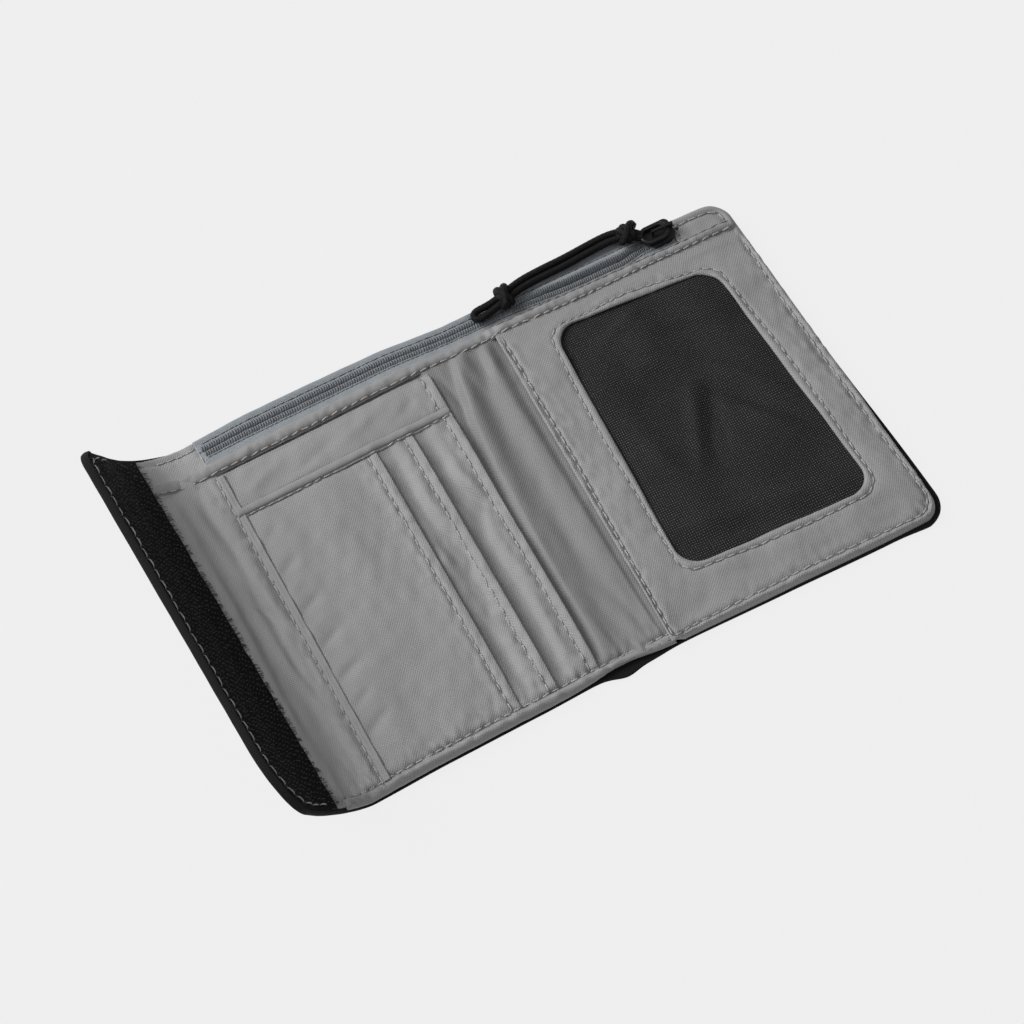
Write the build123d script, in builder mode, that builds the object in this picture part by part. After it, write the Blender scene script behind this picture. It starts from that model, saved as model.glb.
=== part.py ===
"""Travel bifold wallet, lying open on its outer shell.

Frame, in millimetres: the origin is on the underside, at the middle of the
spine. +X runs across the open wallet towards the ID side's free edge, +Y runs
towards the zip, and +Z points up. Thin fabric sheets are modelled flat, each a
little above the one that it is sewn to.
"""
import os
from math import cos, pi, radians, sin, tan

from build123d import *

os.makedirs("parts", exist_ok=True)

# ---------------------------------------------------------------- driving sizes
HEIGHT = 120.0            # bottom edge to zip edge
SPINE_WIDTH = 22.0        # soft zone between the two sides
ID_EDGE = 95.0            # free edge of the ID side
CURL_START = -83.4        # where the closing flap starts to curl up
CORNER_RADIUS = 8.0
HEM = 1.0                 # width of a rolled edge
CLEARANCE = 0.05          # between sheets of one body that lie side by side
JOINT_GAP = 0.2           # slit between the spine's sheets and the ID side's

# Slots for ID-1 cards, 85.6 x 54 mm, slid in from the spine.
SEAM_X = -79.0            # closed end of every card slot
SLOT_TOP = -HEIGHT / 2 + 93.6
FRONT_SLOT_MOUTH = -35.5
MIDDLE_SLOT_MOUTH = -24.0
BINDING_WIDTH = 3.2
SEAM_STRIP_WIDTH = 2.6

# Zip along the top edge.
ZIP_Y = 55.2
HEM_TOP = 49.0            # top of the folded facing below the zip
FACING_WIDTH = 3.8
ZIP_LEFT = -78.2
ZIP_RIGHT = 77.0
COIL_WIDTH = 1.3
COIL_SLIT = 1.0           # slit between the two coils, where the slider's post runs
STOP_LENGTH = 1.5

# Heights of the layers: bottom and thickness of each sheet.
SHELL_T = 1.0
SHIELD_Z, SHIELD_T = 1.05, 0.2
LINING_Z, LINING_T = 1.3, 0.4
TAPE_Z, TAPE_T = 2.3, 0.3
FRONT_Z, FRONT_T = 2.3, 0.4
PANEL_Z, PANEL_T = 2.8, 0.4
LAYER_STEP = 0.5          # rise from one card slot to the next
FACING_T = 0.8
MESH_T = 0.3
FRAME_Z, FRAME_T = 3.2, 0.7
COIL_Z, COIL_T = 2.65, 1.0
CARD_HEM_T, SPINE_HEM_T, ID_HEM_T = 3.0, 2.0, 2.8

# Window of the ID pocket.
WINDOW_LEFT, WINDOW_RIGHT = 25.3, 80.8
WINDOW_BOTTOM, WINDOW_TOP = -42.9, 40.1
WINDOW_RADIUS = 7.0
MESH_LAP = 3.3            # how far the mesh reaches behind the frame

# Closing flap: a tight curl, a wide curl, then a straight lip.
TIGHT_RADIUS, TIGHT_SLOPE = 8.0, 25.0
WIDE_RADIUS, LIP_SLOPE = 34.0, 61.0
LIP_LENGTH = 15.0
FOLD_SLOPE = 55.75        # slope of the curl where the flap folds over
FOLD_SLIT = 1.25          # degrees of curl left open each side of the fold
HOOK_START_SLOPE = 43.0
HOOK_T = 1.1
FLAP_LINING_T = 0.5
FOLD_CLEARANCE = 0.6      # from the hook strip's face to the fold's axis

# Loop strip that the hook strip closes on, let into the ID side's outer face.
LOOP_LEFT, LOOP_RIGHT = 70.0, 92.0
LOOP_HALF_LENGTH = 52.0
LOOP_T = 0.55
LOOP_RECESS = 0.6

# Zip slider, its wire ring and the doubled cord on it.
SLIDER_LEFT, SLIDER_LENGTH, SLIDER_WIDTH = 65.5, 9.0, 7.0
SLIDER_TOP_Z, PLATE_T = 4.0, 0.9
BRIDGE_LEFT, BRIDGE_RIGHT, BRIDGE_TOP_Z = 67.5, 74.4, 7.6
BRIDGE_BAR = 0.8
FLANGE = 0.9
LOWER_PLATE_T = 0.35
POST_WIDTH, POST_LENGTH = 0.6, 1.4
RING_X, RING_Z = 68.5, 5.8
RING_LENGTH, RING_BREADTH, RING_WIRE = 8.1, 4.6, 1.4
CORD_DIAMETER = 1.9
UPPER_KNOT, UPPER_KNOT_LENGTH = (60.8, 58.3, 6.6), 6.4
LOWER_KNOT, LOWER_KNOT_LENGTH = (20.6, 57.8, 6.4), 7.0
KNOT_BREADTH, KNOT_HEIGHT = 6.0, 4.8

# ------------------------------------------------------------- worked-out sizes
TOP = HEIGHT / 2
BOTTOM = -HEIGHT / 2
INNER_BOTTOM = BOTTOM + HEM + CLEARANCE
HEM_Z = SHELL_T + CLEARANCE
INNER_TOP = TOP - 0.8
SPINE_LEFT = -SPINE_WIDTH / 2
SPINE_RIGHT = SPINE_WIDTH / 2 - JOINT_GAP
ID_LEFT = SPINE_WIDTH / 2
ID_INNER_EDGE = ID_EDGE - HEM - CLEARANCE
FACING_BOTTOM = HEM_TOP - FACING_WIDTH
PANEL_TOP = FACING_BOTTOM - 0.1
FRONT_TAPE_BOTTOM = HEM_TOP - 0.6
FRONT_TOP = FRONT_TAPE_BOTTOM - 0.2
COIL_OFFSET = (COIL_WIDTH + COIL_SLIT) / 2
TAPE_EDGE = ZIP_Y + COIL_OFFSET - 0.6
COIL_END = ZIP_RIGHT - STOP_LENGTH - 0.6
FLANGE_Z = TAPE_Z + TAPE_T + 0.25
LOWER_PLATE_Z = LINING_Z + LINING_T + 0.1


def save(builder, name):
    """Label the finished piece and write it as its own STEP file."""
    builder.part.label = name
    export_step(builder.part, f"parts/{name}.step")


def panel(left, right, bottom, top):
    """Add the rectangle with these four edges to the open sketch."""
    with Locations(((left + right) / 2, (bottom + top) / 2)):
        Rectangle(right - left, top - bottom)


def sheet(name, z, thickness, *edges):
    """Make one flat piece of the rectangles in edges and write it."""
    with BuildPart() as flat:
        with BuildSketch(Plane.XY.offset(z)):
            for left, right, bottom, top in edges:
                panel(left, right, bottom, top)
        extrude(amount=thickness)
    save(flat, name)


# ------------------------------------------------------------------- card side
sheet("card_outer_shell", 0, SHELL_T, (CURL_START, SPINE_LEFT, BOTTOM, TOP))
sheet("card_rfid_shield", SHIELD_Z, SHIELD_T, (CURL_START, SPINE_LEFT - 2, BOTTOM + 4, HEM_TOP))
sheet("card_rear_lining", LINING_Z, LINING_T, (CURL_START, SPINE_LEFT, INNER_BOTTOM, INNER_TOP))
sheet("card_compartment_front", FRONT_Z, FRONT_T, (SEAM_X - 4, SPINE_LEFT, INNER_BOTTOM, FRONT_TOP))
sheet("card_slot_rear", PANEL_Z, PANEL_T, (SEAM_X, SPINE_LEFT, INNER_BOTTOM, PANEL_TOP))
sheet(
    "card_slot_middle", PANEL_Z + LAYER_STEP, PANEL_T,
    (SEAM_X, MIDDLE_SLOT_MOUTH, INNER_BOTTOM, SLOT_TOP),
)
sheet(
    "card_slot_front", PANEL_Z + 2 * LAYER_STEP, PANEL_T,
    (SEAM_X, FRONT_SLOT_MOUTH, INNER_BOTTOM, SLOT_TOP),
)
sheet(
    "card_slot_binding", PANEL_Z + 3 * LAYER_STEP, PANEL_T,
    (SEAM_X + SEAM_STRIP_WIDTH + 0.1, SPINE_LEFT, SLOT_TOP - BINDING_WIDTH, SLOT_TOP),
)
sheet(
    "card_side_seam_strip", PANEL_Z + 3 * LAYER_STEP, PANEL_T,
    (SEAM_X, SEAM_X + SEAM_STRIP_WIDTH, INNER_BOTTOM, PANEL_TOP),
)
sheet("card_bottom_hem", HEM_Z, CARD_HEM_T, (CURL_START, SPINE_LEFT, BOTTOM, BOTTOM + HEM))
sheet("card_zip_facing", PANEL_Z, FACING_T, (CURL_START, SPINE_LEFT, FACING_BOTTOM, HEM_TOP))
sheet("zip_end_tab_left", PANEL_Z, FRONT_T, (CURL_START, ZIP_LEFT, HEM_TOP + 0.2, INNER_TOP))

# ----------------------------------------------------------------------- spine
sheet("spine_outer_shell", 0, SHELL_T, (SPINE_LEFT, SPINE_RIGHT, BOTTOM, TOP))
sheet("spine_rear_lining", LINING_Z, LINING_T, (SPINE_LEFT, SPINE_RIGHT, INNER_BOTTOM, INNER_TOP))
sheet("spine_front_panel", FRONT_Z, FRONT_T, (SPINE_LEFT, SPINE_RIGHT, INNER_BOTTOM, FRONT_TOP))
sheet("spine_zip_facing", PANEL_Z, FACING_T, (SPINE_LEFT, SPINE_RIGHT, FACING_BOTTOM, HEM_TOP))
sheet("spine_bottom_hem", HEM_Z, SPINE_HEM_T, (SPINE_LEFT, SPINE_RIGHT, BOTTOM, BOTTOM + HEM))

# --------------------------------------------------------------------- ID side
with BuildPart() as id_outer_shell:
    with BuildSketch() as shell_outline:
        panel(ID_LEFT, ID_EDGE, BOTTOM, TOP)
        fillet(shell_outline.vertices().group_by(Axis.X)[-1], CORNER_RADIUS)
    extrude(amount=SHELL_T)
    with BuildSketch():
        panel(LOOP_LEFT - 0.1, LOOP_RIGHT + 0.1, -LOOP_HALF_LENGTH - 0.1, LOOP_HALF_LENGTH + 0.1)
    extrude(amount=LOOP_RECESS, mode=Mode.SUBTRACT)
save(id_outer_shell, "id_outer_shell")

sheet("id_loop_strip", 0, LOOP_T, (LOOP_LEFT, LOOP_RIGHT, -LOOP_HALF_LENGTH, LOOP_HALF_LENGTH))
sheet("id_rfid_shield", SHIELD_Z, SHIELD_T, (ID_LEFT + 2, ID_INNER_EDGE - 3, BOTTOM + 4, HEM_TOP))

with BuildPart() as id_rear_lining:
    with BuildSketch(Plane.XY.offset(LINING_Z)) as lining_outline:
        panel(ID_LEFT, ID_INNER_EDGE, INNER_BOTTOM, INNER_TOP)
        fillet(lining_outline.vertices().group_by(Axis.X)[-1], CORNER_RADIUS - HEM)
    extrude(amount=LINING_T)
save(id_rear_lining, "id_rear_lining")

with BuildPart() as id_compartment_front:
    with BuildSketch(Plane.XY.offset(FRONT_Z)) as front_outline:
        panel(ID_LEFT, ID_INNER_EDGE, INNER_BOTTOM, FRONT_TOP)
        fillet(front_outline.vertices().group_by(Axis.X)[-1].sort_by(Axis.Y)[0], CORNER_RADIUS - HEM)
    extrude(amount=FRONT_T)
save(id_compartment_front, "id_compartment_front")

sheet(
    "id_mesh_window", PANEL_Z, MESH_T,
    (WINDOW_LEFT - MESH_LAP, WINDOW_RIGHT + MESH_LAP, WINDOW_BOTTOM - MESH_LAP, WINDOW_TOP + MESH_LAP),
)

with BuildPart() as id_window_frame:
    with BuildSketch(Plane.XY.offset(FRAME_Z)) as frame_outline:
        panel(ID_LEFT, ID_INNER_EDGE, INNER_BOTTOM, PANEL_TOP)
        fillet(frame_outline.vertices().group_by(Axis.X)[-1].sort_by(Axis.Y)[0], CORNER_RADIUS - HEM)
        window_x = (WINDOW_LEFT + WINDOW_RIGHT) / 2
        window_y = (WINDOW_BOTTOM + WINDOW_TOP) / 2
        with Locations((window_x, window_y)):
            RectangleRounded(
                WINDOW_RIGHT - WINDOW_LEFT,
                WINDOW_TOP - WINDOW_BOTTOM,
                WINDOW_RADIUS,
                mode=Mode.SUBTRACT,
            )
    extrude(amount=FRAME_T)
save(id_window_frame, "id_window_frame")

sheet("id_zip_facing", PANEL_Z, FACING_T, (ID_LEFT, ID_INNER_EDGE, FACING_BOTTOM, HEM_TOP))

with BuildPart() as zip_end_tab_right:
    with BuildSketch(Plane.XY.offset(PANEL_Z)) as tab_outline:
        panel(ZIP_RIGHT, ID_INNER_EDGE, HEM_TOP + 0.2, INNER_TOP)
        fillet(tab_outline.vertices().group_by(Axis.X)[-1].sort_by(Axis.Y)[-1], CORNER_RADIUS - HEM)
    extrude(amount=FRONT_T)
save(zip_end_tab_right, "zip_end_tab_right")

sheet(
    "id_right_hem", HEM_Z, ID_HEM_T,
    (ID_EDGE - HEM, ID_EDGE, BOTTOM + CORNER_RADIUS, TOP - CORNER_RADIUS),
)
sheet("id_bottom_hem", HEM_Z, ID_HEM_T, (ID_LEFT, ID_EDGE - CORNER_RADIUS, BOTTOM, BOTTOM + HEM))

# ---------------------------------------------------------------- zip fastener
ZIP_SECTIONS = {
    "card": (ZIP_LEFT - 2, SPINE_LEFT),
    "spine": (SPINE_LEFT, SPINE_RIGHT),
    "id": (ID_LEFT, ZIP_RIGHT + 2),
}

for section, (left, right) in ZIP_SECTIONS.items():
    sheet(f"{section}_zip_tape_rear", TAPE_Z, TAPE_T, (left, right, TAPE_EDGE, INNER_TOP))
    sheet(
        f"{section}_zip_tape_front", TAPE_Z, TAPE_T,
        (left, right, FRONT_TAPE_BOTTOM, 2 * ZIP_Y - TAPE_EDGE),
    )
    coil_left = max(left, ZIP_LEFT)
    coil_right = min(right, COIL_END)
    with BuildPart() as coil_pair:
        with BuildSketch(Plane.XY.offset(COIL_Z)):
            for side in (-1, 1):
                middle = ZIP_Y + side * COIL_OFFSET
                panel(coil_left, coil_right, middle - COIL_WIDTH / 2, middle + COIL_WIDTH / 2)
        extrude(amount=COIL_T)
    save(coil_pair, f"{section}_zip_coils")

with BuildPart() as zip_top_stops:
    with BuildSketch(Plane.XY.offset(COIL_Z)):
        for side in (-1, 1):
            with Locations((COIL_END + 0.1 + STOP_LENGTH / 2, ZIP_Y + side * COIL_OFFSET)):
                RectangleRounded(STOP_LENGTH, COIL_WIDTH, 0.4)
    extrude(amount=COIL_T)
save(zip_top_stops, "zip_top_stops")

# Slider: a plate over the coils, a plate under the tapes, a post between them
# and a bridge that carries the ring.
slider_x = SLIDER_LEFT + SLIDER_LENGTH / 2
slider_right = SLIDER_LEFT + SLIDER_LENGTH

with BuildPart() as zip_slider:
    with BuildSketch(Plane.XY.offset(SLIDER_TOP_Z)):
        with Locations((slider_x, ZIP_Y)):
            RectangleRounded(SLIDER_LENGTH, SLIDER_WIDTH, 1.6)
    extrude(amount=PLATE_T)
    with BuildSketch(Plane.XY.offset(FLANGE_Z)):
        for side in (-1, 1):
            with Locations((slider_x, ZIP_Y + side * (SLIDER_WIDTH - FLANGE) / 2)):
                Rectangle(SLIDER_LENGTH - 3.4, FLANGE)
    extrude(amount=SLIDER_TOP_Z - FLANGE_Z)
    with BuildSketch(Plane.XY.offset(LOWER_PLATE_Z)):
        with Locations((slider_x, ZIP_Y)):
            RectangleRounded(SLIDER_LENGTH, SLIDER_WIDTH - 1.6, 1.6)
    extrude(amount=LOWER_PLATE_T)
    with BuildSketch(Plane.XY.offset(LOWER_PLATE_Z)):
        with Locations((slider_right - POST_LENGTH, ZIP_Y)):
            Rectangle(POST_LENGTH, POST_WIDTH)
    extrude(amount=SLIDER_TOP_Z - LOWER_PLATE_Z)
    with BuildSketch(Plane.XZ.offset(-ZIP_Y)):
        with Locations(((BRIDGE_LEFT + BRIDGE_RIGHT) / 2, (SLIDER_TOP_Z + BRIDGE_TOP_Z) / 2)):
            Rectangle(BRIDGE_RIGHT - BRIDGE_LEFT, BRIDGE_TOP_Z - SLIDER_TOP_Z)
            Rectangle(
                BRIDGE_RIGHT - BRIDGE_LEFT - 2 * BRIDGE_BAR,
                BRIDGE_TOP_Z - SLIDER_TOP_Z - 2 * BRIDGE_BAR,
                mode=Mode.SUBTRACT,
            )
    extrude(amount=BRIDGE_BAR / 2, both=True)
save(zip_slider, "zip_slider")

with BuildPart() as pull_ring:
    with BuildLine(Plane.XY.offset(RING_Z)) as ring_path:
        straight = RING_LENGTH - RING_BREADTH
        start = (RING_X - straight / 2, ZIP_Y - RING_BREADTH / 2)
        lower_side = Line(start, (start[0] + straight, start[1]))
        right_end = JernArc(lower_side @ 1, (1, 0), RING_BREADTH / 2, 180)
        upper_side = Line(right_end @ 1, (start[0], ZIP_Y + RING_BREADTH / 2))
        JernArc(upper_side @ 1, (-1, 0), RING_BREADTH / 2, 180)
    with BuildSketch(Plane(origin=ring_path.wires()[0] @ 0, z_dir=(1, 0, 0))):
        Circle(RING_WIRE / 2)
    sweep()
save(pull_ring, "pull_ring")

# ------------------------------------------------------------------------- cord
# One cord, doubled: out of the ring, through both knots, round the end loop and
# back through the knots to the ring.
CORD_ROUTE = [
    (64.0, 55.3, 5.7),
    (60.4, 57.4, 6.1),
    (55.3, 57.5, 5.3),
    (48.6, 58.3, 5.1),
    (40.6, 59.6, 5.0),
    (32.2, 59.3, 5.0),
    (25.6, 58.2, 5.2),
    (20.6, 57.0, 5.8),
    (15.6, 55.7, 5.2),
    (9.4, 55.3, 5.0),
    (9.4, 59.7, 5.0),
    (15.2, 59.6, 5.1),
    (20.4, 58.6, 5.8),
    (25.8, 60.2, 5.3),
    (33.0, 61.6, 5.0),
    (41.2, 61.8, 5.1),
    (49.2, 60.6, 5.0),
    (55.9, 59.8, 5.4),
    (60.8, 59.0, 6.0),
    (64.0, 56.9, 5.7),
]


def corner_radii(route):
    """Largest arc that each inner point of a route has room for."""
    vectors = [Vector(*point) for point in route]
    runs = [after - before for before, after in zip(vectors, vectors[1:])]
    radii = []
    for before, after in zip(runs, runs[1:]):
        turn = radians(before.get_angle(after))
        radii.append(0.45 * min(before.length, after.length) / tan(turn / 2))
    return radii


cord_radii = corner_radii(CORD_ROUTE)
print("cord radii, mm:", [round(radius, 1) for radius in cord_radii])

with BuildPart() as pull_cord:
    with BuildLine() as cord_path:
        FilletPolyline(*CORD_ROUTE, radius=cord_radii)
    with BuildSketch(Plane(origin=cord_path.line @ 0, z_dir=cord_path.line % 0)):
        Circle(CORD_DIAMETER / 2)
    sweep()
save(pull_cord, "pull_cord")

cord_length = cord_path.wires()[0].length
tube_volume = pi * (CORD_DIAMETER / 2) ** 2 * cord_length
print(f"cord length {cord_length:.1f} mm, solid is {pull_cord.part.volume / tube_volume:.3f} of the tube")

for name, centre, length in (
    ("pull_knot_upper", UPPER_KNOT, UPPER_KNOT_LENGTH),
    ("pull_knot_lower", LOWER_KNOT, LOWER_KNOT_LENGTH),
):
    with BuildPart() as knot:
        with BuildSketch(Plane(origin=centre, x_dir=(1, 0, 0), z_dir=(0, 0, 1))):
            Ellipse(length / 2, KNOT_BREADTH / 2)
        extrude(amount=KNOT_HEIGHT / 2, both=True)
        fillet(knot.edges(), KNOT_HEIGHT * 0.42)
    save(knot, name)

# ----------------------------------------------------------------- closing flap
# The curl is two arcs in the XZ plane, then a straight lip. A surface of a layer
# lies a given inset inside the seam between the shell and the flap's lining.
TIGHT_CENTRE = (CURL_START, SHELL_T + TIGHT_RADIUS)
CENTRE_SHIFT = WIDE_RADIUS - TIGHT_RADIUS
WIDE_CENTRE = (
    TIGHT_CENTRE[0] + CENTRE_SHIFT * sin(radians(TIGHT_SLOPE)),
    TIGHT_CENTRE[1] + CENTRE_SHIFT * cos(radians(TIGHT_SLOPE)),
)


def curl(slope, inset):
    """Point of the curl with this slope, inset towards the inner face."""
    tight = slope <= TIGHT_SLOPE
    centre = TIGHT_CENTRE if tight else WIDE_CENTRE
    radius = (TIGHT_RADIUS if tight else WIDE_RADIUS) - inset
    angle = radians(slope)
    return (centre[0] - radius * sin(angle), centre[1] - radius * cos(angle))


def lip(inset):
    """Point of the lip's free edge, inset towards the inner face."""
    start = curl(LIP_SLOPE, inset)
    angle = radians(LIP_SLOPE)
    return (start[0] - LIP_LENGTH * cos(angle), start[1] + LIP_LENGTH * sin(angle))


RISER_END = FOLD_SLOPE - FOLD_SLIT
FLAP_START = FOLD_SLOPE + FOLD_SLIT
LINING_INSET = CLEARANCE
HOOK_INSET = LINING_INSET + FLAP_LINING_T + CLEARANCE

for name, outer, inner in (
    ("riser_outer_shell", -SHELL_T, 0.0),
    ("riser_lining", LINING_INSET, LINING_INSET + FLAP_LINING_T),
):
    with BuildPart() as riser_layer:
        with BuildSketch(Plane.XZ):
            with BuildLine():
                for inset in (outer, inner):
                    ThreePointArc(curl(0, inset), curl(TIGHT_SLOPE / 2, inset), curl(TIGHT_SLOPE, inset))
                    middle_slope = (TIGHT_SLOPE + RISER_END) / 2
                    just_after = curl(TIGHT_SLOPE, inset)
                    ThreePointArc(just_after, curl(middle_slope, inset), curl(RISER_END, inset))
                Line(curl(0, outer), curl(0, inner))
                Line(curl(RISER_END, outer), curl(RISER_END, inner))
            make_face()
        extrude(amount=HEIGHT / 2 - (0 if inner == 0 else HEM), both=True)
    save(riser_layer, name)

with BuildPart() as riser_hook_strip:
    with BuildSketch(Plane.XZ):
        with BuildLine():
            middle_slope = (HOOK_START_SLOPE + RISER_END) / 2
            for inset in (HOOK_INSET, HOOK_INSET + HOOK_T):
                hook_start = curl(HOOK_START_SLOPE, inset)
                ThreePointArc(hook_start, curl(middle_slope, inset), curl(RISER_END, inset))
            for slope in (HOOK_START_SLOPE, RISER_END):
                Line(curl(slope, HOOK_INSET), curl(slope, HOOK_INSET + HOOK_T))
        make_face()
    extrude(amount=HEIGHT / 2 - HEM, both=True)
save(riser_hook_strip, "riser_hook_strip")

for name, outer, inner, margin in (
    ("flap_outer_shell", -SHELL_T, 0.0, 0.0),
    ("flap_lining", LINING_INSET, LINING_INSET + FLAP_LINING_T, HEM),
    ("flap_hook_strip", HOOK_INSET, HOOK_INSET + HOOK_T, HEM),
):
    with BuildPart() as flap_layer:
        with BuildSketch(Plane.XZ):
            with BuildLine():
                middle_slope = (FLAP_START + LIP_SLOPE) / 2
                for inset in (outer, inner):
                    ThreePointArc(curl(FLAP_START, inset), curl(middle_slope, inset), curl(LIP_SLOPE, inset))
                    Line(curl(LIP_SLOPE, inset), lip(inset))
                Line(curl(FLAP_START, outer), curl(FLAP_START, inner))
                Line(lip(outer), lip(inner))
            make_face()
        extrude(amount=HEIGHT / 2 - margin, both=True)
        tip_edges = flap_layer.faces().sort_by(Axis.Z)[-1].edges()
        tip_corners = tip_edges.sort_by(SortBy.LENGTH)[:2].sort_by(Axis.Y)
        fillet(tip_corners[0], CORNER_RADIUS - margin)
        fillet(tip_corners[1], CORNER_RADIUS / 2 - margin)
    save(flap_layer, name)

fold_x, fold_z = curl(FOLD_SLOPE, HOOK_INSET + HOOK_T + FOLD_CLEARANCE)
print(f"flap fold axis at x {fold_x:.2f}, z {fold_z:.2f}")
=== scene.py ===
"""Looks of the bifold travel wallet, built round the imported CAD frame.

Every soft piece is laid out flat in pattern millimetres: u runs from the flap to the ID side, v up the wallet
and h is the height above the floor. place() turns a pattern position into metres in the row frame. It lets
the sewn outline stray a little from a true rectangle and curls the flap up from the card side.
"""

import math

import bpy
import numpy as np
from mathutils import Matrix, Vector


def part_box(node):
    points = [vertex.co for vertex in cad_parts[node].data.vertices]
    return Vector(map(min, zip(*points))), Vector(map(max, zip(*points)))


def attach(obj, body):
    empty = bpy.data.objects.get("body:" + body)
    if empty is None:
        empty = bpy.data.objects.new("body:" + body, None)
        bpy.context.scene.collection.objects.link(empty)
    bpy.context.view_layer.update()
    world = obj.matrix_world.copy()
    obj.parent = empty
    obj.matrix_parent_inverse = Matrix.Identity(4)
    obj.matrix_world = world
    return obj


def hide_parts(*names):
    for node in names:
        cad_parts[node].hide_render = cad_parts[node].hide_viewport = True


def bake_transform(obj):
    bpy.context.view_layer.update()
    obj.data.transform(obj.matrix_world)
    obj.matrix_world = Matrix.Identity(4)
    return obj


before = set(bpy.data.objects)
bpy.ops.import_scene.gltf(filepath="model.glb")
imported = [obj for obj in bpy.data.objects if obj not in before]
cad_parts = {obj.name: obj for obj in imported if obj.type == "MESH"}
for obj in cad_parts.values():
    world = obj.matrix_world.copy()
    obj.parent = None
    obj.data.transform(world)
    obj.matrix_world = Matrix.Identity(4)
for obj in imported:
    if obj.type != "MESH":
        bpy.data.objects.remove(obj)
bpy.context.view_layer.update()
MM = 0.001
TURN = 2 * math.pi


def box_mm(node):
    """Lowest and highest corner of a CAD node, in millimetres."""
    low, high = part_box(node)
    return low / MM, high / MM


# ---------------------------------------------------------------- sizes, from the frame
CARD_LOW, CARD_HIGH = box_mm("card_outer_shell")
ID_LOW, ID_HIGH = box_mm("id_outer_shell")
FACING_BOX = box_mm("card_zip_facing")
COIL_BOX = box_mm("card_zip_coils")
LOOP_LOW, LOOP_HIGH = box_mm("id_loop_strip")
MOUTHS = [box_mm(f"card_slot_{slot}")[1] for slot in ("front", "middle", "rear")]

HALF_HEIGHT, SHELL = CARD_HIGH.y, CARD_HIGH.z
CURL_START, SPINE_LEFT = CARD_LOW.x, CARD_HIGH.x
SPINE_RIGHT, ID_EDGE = ID_LOW.x, ID_HIGH.x
SEAM = box_mm("card_slot_front")[0].x
MOUTH_FRONT, MOUTH_MIDDLE, MOUTH_REAR = [mouth.x for mouth in MOUTHS]
FRONT_TOP, MIDDLE_TOP, REAR_TOP = [mouth.z for mouth in MOUTHS]
SLOT_TOP, PANEL_TOP = MOUTHS[0].y, MOUTHS[2].y
FACING_LOW, FACING_HIGH = FACING_BOX[0].y, FACING_BOX[1].y
TAPE_TOP, TAPE_HEIGHT = box_mm("card_zip_tape_rear")[1].yz
ZIP_LEFT = COIL_BOX[0].x
ZIP_LINE = (COIL_BOX[0].y + COIL_BOX[1].y) / 2
TAB_RIGHT = box_mm("zip_end_tab_right")[0].x
SPINE_TOP = box_mm("spine_front_panel")[1].z
ID_TOP = box_mm("id_window_frame")[1].z
MESH_TOP = box_mm("id_mesh_window")[1].z

# places read off the photo, in the pattern's millimetres: (u, v) knots of the facing's stitch line and its
# top edge, the facing's ends, the grey cloth's edges and the bottom stitch line
FACING_BASE = ((-92, 47.2), (12, 47.7), (30, 47.5), (75, 48.6), (94, 48.9))
FACING_EDGE = ((-92, 50.9), (12, 51.2), (75, 51.4), (94, 51.7))
FACING_ENDS = (-97.0, 93.0)
GREY_EDGE = ID_EDGE - 0.4
GREY_LOW = -HALF_HEIGHT + 0.5
GREY_CORNER = 6.5
FRAME_LEFT = SPINE_RIGHT - 0.1
FRAME_HIGH = 50.0
HEM_STITCH = -HALF_HEIGHT + 3.6
# rows of stitches: beside the three mouths, across the slots' tops, on the rear tape and on the right tab
FRONT_ROW, MIDDLE_ROW, REAR_ROW = MOUTH_FRONT - 2.8, MOUTH_MIDDLE - 2.7, MOUTH_REAR - 2.7
SLOT_ROW = SLOT_TOP - 2.6
TAPE_ROW = TAPE_TOP - 1.7
TAB_ROW = TAB_RIGHT + 1.6
# how far the frame's stitches lie inside the window's edge, the outer edge and the edge beside the spine
WINDOW_STITCH, EDGE_STITCH, NEAR_STITCH = 2.5, 2.9, 1.9

# the flap's curl: two arcs, then a straight lip
TIGHT_RADIUS, TIGHT_SLOPE = 8.0, math.radians(25)
WIDE_RADIUS, LIP_SLOPE = 34.0, math.radians(61)
LIP_LENGTH = 15.0
TIGHT_LENGTH = TIGHT_RADIUS * TIGHT_SLOPE
WIDE_LENGTH = WIDE_RADIUS * (LIP_SLOPE - TIGHT_SLOPE)
FLAP_TIP = CURL_START - TIGHT_LENGTH - WIDE_LENGTH - LIP_LENGTH
HOOK_START = CURL_START - TIGHT_LENGTH - WIDE_RADIUS * math.radians(43 - 25)
CORNER = 8.0
TIP_CORNER = 6.0

# window in the ID frame: left, right, and the heights of its four corners
WINDOW_LEFT, WINDOW_RIGHT = 25.5, 80.5
WINDOW_TOP_LEFT, WINDOW_TOP_RIGHT = 41.3, 39.8
WINDOW_LOW_LEFT, WINDOW_LOW_RIGHT = -41.8, -42.7
WINDOW_RADIUS = 7.0


# ---------------------------------------------------------------- pattern space
def ease(x, start, stop):
    """0 before start, 1 after stop, and smooth between."""
    t = np.clip((x - start) / (stop - start), 0, 1)
    return t * t * (3 - 2 * t)


def hill(x, middle, width):
    """A smooth hump of height 1, width wide to where it has fallen to about a third."""
    return np.exp(-(((x - middle) / width) ** 2))


def through(x, knots):
    """A smooth line through (place, value) knots, level at each end."""
    places = np.array([k[0] for k in knots], float)
    values = np.array([k[1] for k in knots], float)
    at = np.clip(np.searchsorted(places, x) - 1, 0, len(places) - 2)
    t = np.clip((x - places[at]) / (places[at + 1] - places[at]), 0, 1)
    t = 0.5 * t + 0.5 * t * t * (3 - 2 * t)
    return values[at] + (values[at + 1] - values[at]) * t


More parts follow.
